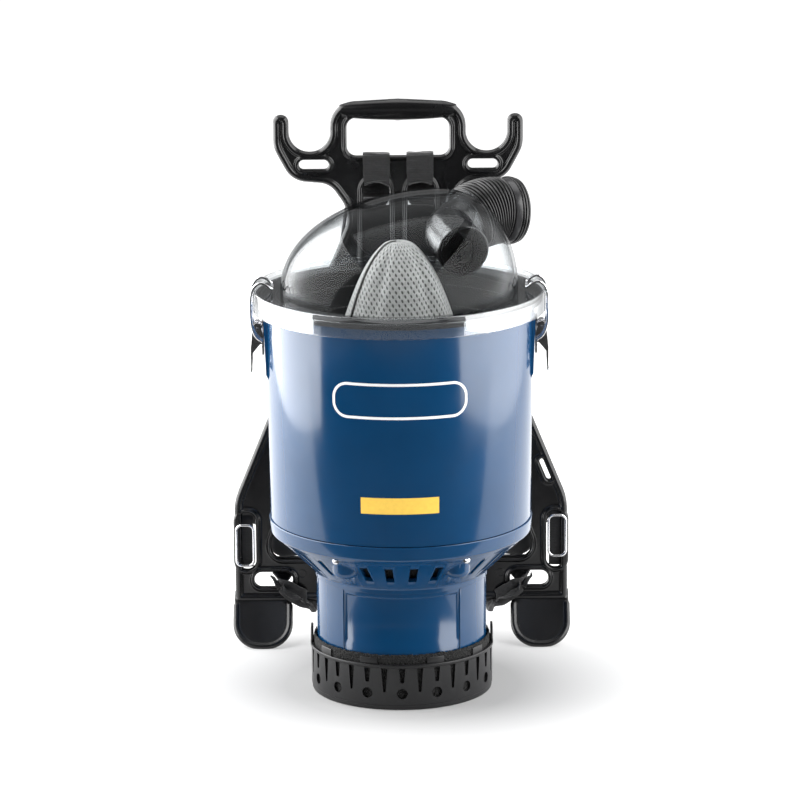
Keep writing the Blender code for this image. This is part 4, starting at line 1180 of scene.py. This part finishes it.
# ---------------------------------------------------------------- latches
def latches():
    """The two wire bails with their levers and rivets."""
    shape = [(0.1283, 0.3376), (0.1345, 0.3440), (0.1380, 0.3560), (0.1386, 0.3680), (0.1385, 0.3790),
             (0.1369, 0.3870), (0.1330, 0.3920), (0.1280, 0.3937), (0.1226, 0.3912), (0.1186, 0.3874)]
    for side, word in SIDES:
        curve = through([(side * x, 0.0, z) for x, z in shape], 6)
        half = 0.013
        foot = Vector((side * shape[0][0], 0.0, shape[0][1]))
        near = [Vector((p.x, -half, p.z)) for p in curve[3:-2]]
        tip = curve[-1]
        corner = [Vector((tip.x, -half + 0.0006, tip.z + 0.0012)), Vector((tip.x, -half + 0.0022, tip.z)),
                  Vector((tip.x, -half + 0.006, tip.z - 0.0002))]
        start = [foot + Vector((0, -0.0080, 0)), foot + Vector((0, -0.0112, 0)),
                 foot + Vector((0, -0.0127, 0.0008))]
        first = start + near + corner
        path = first + [Vector((p.x, -p.y, p.z)) for p in reversed(first)]
        piece("bail_wire_" + word, wire("bail_wire_" + word, path, 0.00125, 14), "chrome", "bail_" + word,
              ["latch_bail_" + word])
        lever(side, word)
        rivets = [drum(0.0009, 0.0006, Matrix.Translation((side * 0.1286, y, z)) @ QUARTER_Y, 16)
                  for y, z in ((0.0, 0.3300), (0.0, 0.3385))]
        piece("latch_rivets_" + word, together("rivets", rivets), "steel")


def lever(side, word):
    """Pressed lever: two cheeks, a window and a curled tail for the fingers."""
    outline = rounded([(side * x, z, r) for x, z, r in
                       ((0.1290, 0.3515, 0.0014), (0.1310, 0.3545, 0.0016), (0.1346, 0.3545, 0.0016),
                        (0.1368, 0.3515, 0.0016), (0.1390, 0.3300, 0.003), (0.1388, 0.3085, 0.0003),
                        (0.1378, 0.3085, 0.0003), (0.1370, 0.3262, 0.002), (0.1303, 0.3345, 0.001),
                        (0.1268, 0.3352, 0.001), (0.1268, 0.3398, 0.001))], 15)
    body = plate([outline], 0.0180, upright(0.0))
    between = [(side * x, z) for x, z in ((0.1160, 0.3600), (0.1378, 0.3600), (0.1378, 0.3300),
                                          (0.1370, 0.3266), (0.1160, 0.3266))]
    body = cut(body, plate([between], 0.0158, upright(0.0)))
    window = moved(block((-0.002, -0.0042, 0.3150), (0.002, 0.0042, 0.3225), 0.0009),
                   Matrix.Translation((side * 0.1383, 0, 0)))
    body = cut(body, window)
    lip = wire("tail_roll", [Vector((side * 0.1386, y, 0.3086)) for y in np.linspace(-0.0088, 0.0088, 8)],
               0.0009, 10)
    piece("lever_plate_" + word, together("lever", [bevelled(body, 0.0002, 1), lip]), "chrome",
          "lever_" + word,
          ["latch_lever_" + word])


# ---------------------------------------------------------------- harness frame
def frame_outlines():
    """The outer edge and the openings of the harness frame."""
    half = [(0.0, 0.536, 0.0), (0.0648, 0.5325, 0.024), (0.0648, 0.5050, 0.008), (0.0648, 0.4850, 0.0195),
            (0.1045, 0.4850, 0.0195), (0.1045, 0.5210, 0.0072), (0.1195, 0.5210, 0.0072),
            (0.1195, 0.4900, 0.030), (0.1020, 0.4572, 0.024), (0.0655, 0.4540, 0.020),
            (0.0455, 0.4250, 0.030), (0.1618, 0.1410, 0.050), (0.1618, 0.0390, 0.002), (0.0, 0.039, 0.0)]
    edge = rounded(mirrored(half), 8)
    handle = [(0.0, 0.515, 0.0), (0.0490, 0.5185, 0.009), (0.0490, 0.4810, 0.009), (0.0, 0.4810, 0.0)]
    crotch = [(0.0, 0.205, 0.0), (0.0860, 0.205, 0.015), (0.1265, 0.100, 0.020), (0.1265, 0.082, 0.012),
              (0.0, 0.082, 0.0)]
    holes = [rounded(mirrored(handle)), rounded(mirrored(crotch))]
    for side in (1, -1):
        holes.append(rectangle(side * 0.0808, 0.4727, 0.0285, 0.009, 0.0044))
        holes.append(rectangle(side * 0.0216, 0.3945, 0.025, 0.129, 0.0122))
        holes.append(rectangle(side * 0.1500, 0.1000, 0.017, 0.057, 0.0083))
        holes.append(rectangle(side * 0.1245, 0.0610, 0.037, 0.0145, 0.0070))
    slant = Matrix.Rotation(math.radians(22.5), 2)
    holes.append([tuple(Vector((0.1409, 0.1703)) + slant @ Vector(p))
                  for p in rectangle(0.0, 0.0, 0.0055, 0.022, 0.0026)])
    return edge, holes


def moulded_frame():
    """The harness frame: a thin web between rounded rims, a grip and two feet."""
    edge, holes = frame_outlines()
    half_depth = (BACK_Y - FRONT_Y) / 2
    parts = [plate([edge] + holes, 0.0042, upright(MID_Y)), bead(edge, MID_Y, 0.0036, half_depth, 1)]
    for hole in holes:
        parts.append(bead(hole, MID_Y, 0.0024, half_depth, -1))
    parts.append(grip())
    tilt = Matrix.Translation((0, MID_Y, 0.043)) @ Matrix.Rotation(math.radians(231), 4, "X")
    for side in (1, -1):
        low, high = sorted((side * 0.1072, side * 0.1630))
        outline = rounded([(low, -0.006, 0.0), (high, -0.006, 0.0), (high, 0.0545, 0.024),
                           (low, 0.0545, 0.024)], 8)
        parts.append(plate([outline], 0.0040, tilt))
        rim = [Vector((x, y)) for x, y in outline]
        inner = [rim[i] for i in range(len(rim)) if rim[i].y > -0.005]
        path = [tilt @ Vector((p.x - math.copysign(0.0018, p.x - side * 0.1351), p.y - 0.0018,
                               0.0)) for p in inner]
        inward = tilt.to_3x3() @ Vector((0, -0.02, 0))
        path = [path[0] + inward] + path + [path[-1] + inward]
        parts.append(wire("foot_rim", path, 0.0031, 12))
    whole = together("frame_parts", parts)
    skin = remeshed(whole, 0.0009, 2)
    under = block((-0.3, 0.0, -0.1), (0.3, 0.3, 0.0003))
    skin = cut(skin, under)
    piece("moulded_frame", skin, "black_moulded", replaces=["harness_frame"], angle=75)
    marks = []
    for side in (1, -1):
        on_web = Matrix.Translation((side * 0.0965, MID_Y - 0.0019, 0.0665)) @ QUARTER_X
        marks.append(moved(mould_ring(0.0042, 0.0, 0.0009), on_web))
        across = tilt.to_3x3() @ Vector((0, 0, 1))
        centre = tilt @ Vector((side * 0.1351, 0.024, 0.0)) + across * 0.0018
        marks.append(moved(mould_ring(0.0055, -0.0002, 0.0008), aimed(across, centre)))
    piece("mould_marks", together("mould_marks", marks), "black_moulded")


def mould_ring(radius, low, high):
    """A fine raised ring, as an ejector pin leaves."""
    inner = radius - 0.0008
    corners = [(radius, low, 0.0), (radius, high, 0.0003), (inner, high, 0.0003), (inner, low, 0.0)]
    return lathe("mark", rounded(corners, 30), 32)


def grip():
    """The handle's rounded grip, fuller towards its middle."""
    count, sides, points, rings = 49, 28, [], []
    reach = 0.0560
    for i in range(count):
        x = reach * (2 * i / (count - 1) - 1)
        share = max(0.0, 1 - (x / reach) ** 2)
        top = 0.5354 - 0.0040 * (1 - share)
        low = 0.5192 - 0.0037 * share ** 0.8
        middle, half = (top + low) / 2, (top - low) / 2 * (0.80 + 0.20 * min(1.0, share * 5))
        depth = 0.0036 + 0.0048 * share ** 0.5
        new_ring(points, rings, sides)
        for k in range(sides):
            angle = math.tau * k / sides
            c, s = math.cos(angle), math.sin(angle)
            points.append((x, MID_Y + depth * math.copysign(abs(c) ** 0.8, c),
                           middle + half * math.copysign(abs(s) ** 0.8, s)))
    faces = ring_faces(rings, False) + [list(rings[0]), list(reversed(rings[-1]))]
    return mesh_of("grip", points, faces)


def rings():
    """The steel strap rings in the leg slots, each with its webbing tab."""
    for side, word in SIDES:
        low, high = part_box("side_ring_" + word)
        x, z = (low.x + high.x) / 2, (low.z + high.z) / 2
        y = (low.y + high.y) / 2
        w, h, radius = (high.x - low.x) / 2 - 0.0013, (high.z - low.z) / 2 - 0.0013, 0.0013
        outline = rectangle(0.0, 0.0, 2 * w, 2 * h, 0.0055, 10)
        path = spaced([Vector((x + a, y, z + b)) for a, b in outline])
        piece("strap_ring_" + word, wire("strap_ring_" + word, path, radius, 14, cyclic=True), "chrome",
              replaces=["side_ring_" + word])
        run = through([(x - side * 0.0004, MID_Y + 0.004, 0.0735),
                       (x - side * 0.0004, MID_Y + 0.0010, 0.0800),
                       (x - side * 0.0004, MID_Y + 0.0002, z),
                       (x - side * 0.0004, MID_Y + 0.0010, z + 0.0200),
                       (x - side * 0.0004, MID_Y + 0.004, z + 0.0275)], 8)
        webbing("ring_tab_" + word, run, 0.0150, 0.0030, ((1, 0, 0), 0.0004, 9),
                angle=32)


# ---------------------------------------------------------------- soft goods
def webbing(name, path, width, thickness, weave, replaces=(), angle=60):
    """A strip of webbing; weave holds its across, ripple, columns and seed."""
    made = piece(name, strip(name, path, width, thickness, *weave), "webbing", replaces=replaces,
                 angle=angle)


def stuffed(data, cap, voxel=0.005, pressure=4.0, frames=20):
    """Blows a slack skin up under pressure from inside; no point moves further than cap."""
    start = remeshed(data, voxel, 3)
    before = np.array([v.co for v in start.vertices])
    obj = linked("being_stuffed", start)
    cloth = obj.modifiers.new("Cloth", "CLOTH")
    cloth.settings.quality = 5
    cloth.settings.use_pressure = True
    cloth.settings.uniform_pressure_force = pressure
    cloth.settings.effector_weights.gravity = 0
    cloth.point_cache.frame_end = frames
    scene = bpy.context.scene
    for number in range(1, frames + 1):
        scene.frame_set(number)
    blown = bpy.data.meshes.new_from_object(obj.evaluated_get(bpy.context.evaluated_depsgraph_get()))
    bpy.data.objects.remove(obj, do_unlink=True)
    scene.frame_set(1)
    after = np.array([v.co for v in blown.vertices])
    move = after - before
    size = np.linalg.norm(move, axis=1, keepdims=True)
    after = before + move * np.minimum(1.0, cap / np.maximum(size, 1e-9))
    blown.vertices.foreach_set("co", after.astype(np.float32).ravel())
    obj = linked("being_smoothed", blown)
    finer = obj.modifiers.new("Subdivision", "SUBSURF")
    finer.levels = finer.render_levels = 1
    return taken(obj)


def kept_clear(data, low_y, high_y):
    """No point of a pad goes in front of what it leans on, or beyond its back."""
    for vertex in data.vertices:
        vertex.co.y = min(high_y, max(low_y, vertex.co.y))
    return data


def channelled(data, lines, depth, width):
    """Sewn channels across a pad's back: lines are heights, or (x, None) for upright ones."""
    middle = sum(v.co.y for v in data.vertices) / len(data.vertices)
    for vertex in data.vertices:
        if vertex.co.y < middle:
            continue
        dip = 0.0
        for x, z in lines:
            away = vertex.co.x - x if z is None else vertex.co.z - z
            dip = max(dip, math.exp(-(away / width) ** 2))
        vertex.co.y -= depth * dip
    return data


def piping(name, outline, y, radius=0.0017):
    """A bead of piping along an outline."""
    path = spaced([Vector((x, y, z)) for x, z in outline])
    piece(name, wire(name, path, radius, 10, cyclic=True), "stitching")


def pads():
    """The padded backs and the waist belt, sewn in channels."""
    upper = [(0.0, 0.436, 0.0), (0.042, 0.436, 0.014), (0.088, 0.232, 0.014), (0.0, 0.232, 0.0)]
    lumbar = [(0.0, 0.224, 0.0), (0.098, 0.224, 0.020), (0.134, 0.140, 0.020), (0.134, 0.079, 0.012),
              (0.0, 0.079, 0.0)]
    for name, half, lines in (
            ("back_pad", upper, [(0.0, z) for z in (0.268, 0.310, 0.352, 0.394)]),
            ("waist_pad", lumbar, [(0.0, None), (-0.048, None), (0.048, None), (-0.092, None),
                                   (0.092, None)])):
        low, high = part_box(name)
        outline = rounded(mirrored(half))
        middle = (low.y + high.y) / 2
        shrunk = [(x * 0.985, (low.z + high.z) / 2 + (z - (low.z + high.z) / 2) * 0.99) for x,
                  z in outline]
        data = bevelled(plate([shrunk], (high.y - low.y) * 0.60, upright(middle)), 0.0035, 2)
        data = kept_clear(stuffed(data, 0.0032), low.y, high.y + 0.001)
        data = channelled(data, lines, 0.0028, 0.0030)
        pad = piece(name + "_cover", data, "black_cloth", replaces=[name], angle=180)
        piping(name + "_piping", [(x * 0.985, z) for x, z in outline], middle)
    low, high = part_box("waist_belt")
    outline = rounded([(-0.118, 0.092, 0.018), (0.118, 0.092, 0.018), (0.118, 0.176, 0.018),
                       (-0.118, 0.176, 0.018)])
    middle = (low.y + high.y) / 2
    data = bevelled(plate([[(x * 0.98, 0.134 + (z - 0.134) * 0.96) for x, z in outline]], 0.0075,
                          upright(middle)), 0.003, 2)
    data = kept_clear(stuffed(data, 0.0026), low.y, high.y)
    data = channelled(data, [(0.0, 0.104), (0.0, 0.164)], 0.0022, 0.0022)
    belt = piece("waist_belt_cover", data, "black_cloth", replaces=["waist_belt"], angle=180)
    piping("waist_belt_piping", outline, middle, 0.0014)


def shoulder_straps():
    """Each padded strap bows back from the top bar; its binding runs down both edges."""
    base = BACK_Y + 0.0156
    knots = [(base + 0.004, 0.452, 0), (base + 0.014, 0.410, 0), (base + 0.020, 0.350, 0),
             (base + 0.018, 0.290, 0), (base + 0.006, 0.240, 0)]
    middle = through(knots, 6)
    for side, word in SIDES:
        lean = (Matrix.Translation((side * 0.0245, 0, 0.452)) @ Matrix.Rotation(math.radians(-9.0 * side),
                                                                                4, "Y")
                @ Matrix.Translation((0, 0, -0.452)))
        outline = [(p.x + 0.0036, p.y) for p in middle] + [(p.x - 0.0036, p.y) for p in reversed(middle)]
        data = bevelled(plate([outline], 0.0400, lean @ sideways(0.0)), 0.002, 2)
        pad = piece("shoulder_strap_" + word, stuffed(data, 0.0028, 0.0042), "black_cloth",
                    replaces=["shoulder_pad_" + word], angle=180)
        bindings = []
        for edge in (-0.0208, 0.0208):
            path = [lean @ Vector((edge, p.x, p.y)) for p in middle]
            bindings.append(wire("binding", path, 0.0017, 10))
        piece("strap_binding_" + word, together("binding", bindings), "stitching")
        web = [lean @ Vector((0.0, p.x + 0.0066, p.y)) for p in middle[3:]]
        across = tuple(lean.to_3x3() @ Vector((1, 0, 0)))
        webbing("strap_web_" + word, web, 0.024, 0.0012, (across,),
                angle=32)


def top_loops():
    """Webbing loops over the top bar, where the shoulder straps hang."""
    for side, word in SIDES:
        low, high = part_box("top_webbing_" + word)
        x = side * 0.0209
        width, thick = 0.0258, 0.0014
        f, b, window_top = low.y + 0.0002, high.y - 0.0003, 0.4590
        path = through([(x, MID_Y + 0.0030, window_top - 0.0030),
                        (x, MID_Y - 0.0015, window_top - 0.0036),
                        (x, f + 0.0012, window_top - 0.0020), (x, f - 0.0004, window_top + 0.0030),
                        (x, f - 0.0002, high.z - 0.008), (x, f + 0.0003, high.z - 0.0010),
                        (x, (f + b) / 2, high.z + 0.0004), (x, b - 0.0001, high.z - 0.002),
                        (x, b + 0.0002, high.z - 0.012), (x, b + 0.0010, low.z + 0.004),
                        (x, b + 0.0018, low.z - 0.006)], 8)
        data = strip("top_loop_" + word, path, width, thick, (1, 0, 0.02 * side), 0.0008, 13, 3.1 + side)
        for vertex in data.vertices:
            droop = 0.0
            if vertex.co.y < MID_Y + 0.004:
                droop = max(0.0, 1 - (vertex.co.z - window_top + 0.004) / 0.010)
            away = (vertex.co.x - x) / (width / 2)
            vertex.co.z -= 0.0035 * min(1.0, droop) * away * away
            vertex.co.x -= 0.0012 * min(1.0, droop) * away
        loop = piece("top_loop_" + word, data, "webbing", replaces=["top_webbing_" + word], angle=60)


def belt_webs():
    """Bunched belt webbing from the low slots, round the crossbar's lower edge."""
    for side, word in SIDES:
        f, b = FRONT_Y - 0.0016, BACK_Y + 0.0020
        knots = [(side * 0.1130, b, 0.0690), (side * 0.1190, MID_Y + 0.003, 0.0610),
                 (side * 0.1180, f + 0.001, 0.0590),
                 (side * 0.1085, f - 0.0014, 0.0510), (side * 0.0960, f - 0.0010, 0.0430),
                 (side * 0.0900, f + 0.0030, 0.0365), (side * 0.0880, MID_Y + 0.002, 0.0355),
                 (side * 0.0860, b, 0.0400), (side * 0.0820, b + 0.0008, 0.0560)]
        path = through(knots, 6)
        weave = ((0.55 * side, 0.0, 0.85), 0.0022, 11, 7.0 * side)
        webbing("belt_web_" + word, path, 0.0180, 0.0014, weave,
                ["belt_webbing_" + word])
        second = [p + Vector((side * 0.0035, -0.0014, 0.0015)) for p in path[8:32]]
        weave = ((0.75 * side, 0.15, 0.60), 0.0024, 9, 2.0 * side)
        webbing("belt_fold_" + word, second, 0.0120, 0.0013, weave)


def side_webs():
    """Webbing from the back of the waist pad down to the strap rings, and the belt strap."""
    for side, word in SIDES:
        low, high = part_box("side_webbing_" + word)
        y = (low.y + high.y) / 2
        path = through([(side * 0.1030, y, 0.2310), (side * 0.1130, y + 0.0006, 0.2000),
                        (side * 0.1215, y + 0.0002, 0.1650),
                        (side * 0.1480, y, 0.1135)], 8)
        weave = ((0.93, 0.0, 0.37 * side), 0.0006, 7, side)
        webbing("side_web_" + word, path, 0.0200, 0.0013, weave,
                ["side_webbing_" + word])
    low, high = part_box("belt_strap")
    y, z = (low.y + high.y) / 2, (low.z + high.z) / 2
    path = [Vector((low.x + (high.x - low.x) * k / 24, y + 0.0003 * math.sin(k * 1.3),
                    z)) for k in range(25)]
    data = strip("belt_band", path, high.z - low.z, 0.0015, (0, 0, 1), 0.0005, 11, 5.0)
    band = piece("belt_band", data, "webbing", replaces=["belt_strap"], angle=60)


def buckle():
    """A side-release buckle: slotted socket, and a plug with two sprung prongs."""
    low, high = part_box("buckle_socket")
    middle_z = (low.z + high.z) / 2
    socket = block(low, high, 0.0028, 4)
    sides = [block((low.x + 0.0060, low.y - 0.01, z - 0.0048),
                   (high.x - 0.0050, high.y + 0.01, z + 0.0048), 0.002)
             for z in (low.z - 0.0015, high.z + 0.0015)]
    slot = block((low.x + 0.0035, low.y - 0.01, low.z + 0.0045),
                 (low.x + 0.0062, high.y + 0.01, high.z - 0.0045), 0.0005)
    socket = cut(socket, together("cuts", sides + [slot]))
    ridge = block((low.x + 0.009, high.y - 0.0008, middle_z - 0.008),
                  (high.x - 0.006, high.y + 0.0004, middle_z + 0.008), 0.0006)
    piece("buckle_body", together("buckle_body", [bevelled(socket, 0.0004, 2), ridge]), "black_moulded",
          replaces=["buckle_socket"])
    low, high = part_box("buckle_plug")
    plug = block(low, high, 0.0024, 4)
    slot = block((high.x - 0.0072, low.y - 0.01, low.z + 0.0045),
                 (high.x - 0.0040, high.y + 0.01, high.z - 0.0045), 0.0005)
    plug = cut(plug, slot)
    prongs = []
    for z in (low.z + 0.004, high.z - 0.004):
        prongs.append(block((low.x - 0.0165, low.y + 0.003, z - 0.0022),
                            (low.x + 0.002, high.y - 0.003, z + 0.0022), 0.0012))
    piece("buckle_tongue", together("buckle_tongue", [bevelled(plug, 0.0004, 2)] + prongs),
          "black_moulded",
          replaces=["buckle_plug"])


def gland():
    """The cable gland with its ribbed strain relief."""
    low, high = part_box("cable_gland")
    angle = math.radians(125)
    across = Vector((math.cos(angle), math.sin(angle), 0.0))
    profile = [(0.0036, 0.0), (0.0080, 0.0), (0.0080, 0.0042), (0.0074, 0.0050), (0.0060, 0.0050)]
    for k in range(5):
        at = 0.0062 + 0.0027 * k
        crest = 0.0060 - 0.0003 * k
        profile += [(crest, at), (crest, at + 0.0014), (crest - 0.0011, at + 0.0017),
                    (crest - 0.0011, at + 0.0024)]
    profile += [(0.0046, 0.0200), (0.0036, 0.0200)]
    data = moved(lathe("gland_boot", profile, 40),
                 aimed(across, across * 0.1245 + Vector((0, 0, (low.z + high.z) / 2))))
    piece("gland_boot", data, "black_rubber", replaces=["cable_gland"])


# ---------------------------------------------------------------- CAD nodes that stay
KEPT = {
    "upper_bracket": "black_satin", "lower_bracket": "black_satin", "switch_bezel": "black_satin",
    "switch_rocker": "black_moulded", "chamber_floor": "grey_plastic", "filter_ring": "black_rubber",
    "filter_cage": "grey_plastic", "fan_housing": "steel", "motor_can": "grey_plastic",
    "fan_rotor": "steel",
    "motor_mount": "black_rubber", "motor_seal": "black_rubber", "latch_base_right": "chrome",
    "latch_base_left": "chrome", "latch_pin_right": "chrome", "latch_pin_left": "chrome",
}


def keep_cad_nodes():
    """The remaining CAD nodes get finer edges and materials."""
    for node, finish in KEPT.items():
        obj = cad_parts[node]
        obj.data.materials.clear()
        obj.data.materials.append(FINISHES[finish])
        weld = obj.modifiers.new("Weld", "WELD")
        weld.merge_threshold = 0.00001
        soften = obj.modifiers.new("Bevel", "BEVEL")
        soften.width = 0.00025
        soften.segments = 2
        soften.limit_method = "ANGLE"
        soften.angle_limit = math.radians(50)
        soften.harden_normals = False
        for polygon in obj.data.polygons:
            polygon.use_smooth = True
        split = obj.modifiers.new("Split", "EDGE_SPLIT")
        split.split_angle = math.radians(32)


# ---------------------------------------------------------------- studio
def studio():
    """A plain pale floor, soft boxes at both sides and above, and a dark card in front."""
    mesh = bmesh.new()
    bmesh.ops.create_grid(mesh, x_segments=1, y_segments=1, size=15.0)
    data = bpy.data.meshes.new("floor")
    mesh.to_mesh(data)
    mesh.free()
    floor = linked("floor", data)
    data.materials.append(floor_material())
    card_data = mesh_of("dark_card",
                        [(-1.9, -2.8, 0.003), (1.9, -2.8, 0.003), (1.9, -0.22, 0.003),
                         (-1.9, -0.22, 0.003)],
                        [[0, 1, 2, 3]])
    card = linked("dark_card", card_data)
    card_data.materials.append(moulded("dark_card", (0.02, 0.02, 0.02), 0.9))
    for ray in ("camera", "diffuse", "transmission", "shadow", "volume_scatter"):
        setattr(card, "visible_" + ray, False)
    soft_box("left_box", (-0.80, 0.52, 0.62), (0.0, 0.52, 0.30), 1.85, 1.30, 46.0, (0.04, 0.16))
    soft_box("right_box", (0.86, 0.35, 0.62), (0.0, 0.35, 0.30), 2.40, 1.30, 50.0, (0.05, 0.85))
    soft_box("top_box", (0.0, 0.45, 1.90), (0.0, 0.20, 0.30), 1.50, 1.20, 10.0)
    soft_box("front_box", (-1.30, -3.20, 2.40), (0.0, 0.0, 0.25), 1.40, 1.40, 5.0)
    world = bpy.data.worlds.new("studio")
    bpy.context.scene.world = world
    world.use_nodes = True
    tree = world.node_tree
    coords = tree.nodes.new("ShaderNodeTexCoord")
    split = tree.nodes.new("ShaderNodeSeparateXYZ")
    ramp = tree.nodes.new("ShaderNodeMapRange")
    ramp.inputs["From Min"].default_value = -0.9
    ramp.inputs["From Max"].default_value = 0.5
    ramp.inputs["To Min"].default_value = 0.04
    ramp.inputs["To Max"].default_value = 0.34
    tree.links.new(coords.outputs["Generated"], split.inputs["Vector"])
    tree.links.new(split.outputs["Y"], ramp.inputs["Value"])
    background = tree.nodes["Background"]
    background.inputs["Color"].default_value = (1.0, 1.0, 1.0, 1.0)
    tree.links.new(ramp.outputs["Result"], background.inputs["Strength"])
    bpy.context.scene.view_settings.view_transform = "Standard"


def soft_box(name, place, target, width, height, power, fade=None):
    """An area light; fade gives the shares of its width where it starts to shine and shines in full."""
    data = bpy.data.lights.new(name, "AREA")
    data.shape = "RECTANGLE"
    data.size, data.size_y = width, height
    data.energy = power
    obj = bpy.data.objects.new(name, data)
    bpy.context.scene.collection.objects.link(obj)
    obj.location = place
    obj.rotation_mode = "QUATERNION"
    obj.rotation_quaternion = (Vector(target) - Vector(place)).to_track_quat("-Z", "Y")
    if not fade:
        return
    data.use_nodes = True
    tree = data.node_tree
    geometry = tree.nodes.new("ShaderNodeNewGeometry")
    split = tree.nodes.new("ShaderNodeSeparateXYZ")
    ramp = tree.nodes.new("ShaderNodeMapRange")
    ramp.interpolation_type = "SMOOTHSTEP"
    tree.links.new(geometry.outputs["Parametric"], split.inputs["Vector"])
    tree.links.new(split.outputs["X"], ramp.inputs["Value"])
    front_first = place[0] < 0
    ramp.inputs["From Min"].default_value = fade[0] if front_first else 1 - fade[0]
    ramp.inputs["From Max"].default_value = fade[1] if front_first else 1 - fade[1]
    tree.links.new(ramp.outputs["Result"], tree.nodes["Emission"].inputs["Strength"])


def camera():
    """A long lens, looking down on the object from the front."""
    data = bpy.data.cameras.new("camera")
    data.sensor_width = 36.0
    data.lens = 236.8
    data.clip_start, data.clip_end = 0.1, 60.0
    obj = bpy.data.objects.new("camera", data)
    bpy.context.scene.collection.objects.link(obj)
    obj.location = (0.0, -4.7913, 1.4547)
    tilt = Matrix.Rotation(math.radians(90 - 13.8), 4, "X")
    roll = about_z(-0.45)
    obj.matrix_world = Matrix.Translation(obj.location) @ tilt @ roll
    bpy.context.scene.camera = obj


camera()
studio()
exhaust_cover()
exhaust_foam()
motor_barrel()
vent_skirt()
canister_shell()
labels()
filter_cloth()
dust_liner()
clear_lid()
seal()
elbow()
ribbed_cuff()
latches()
moulded_frame()
rings()
pads()
shoulder_straps()
top_loops()
belt_webs()
side_webs()
buckle()
gland()
keep_cad_nodes()
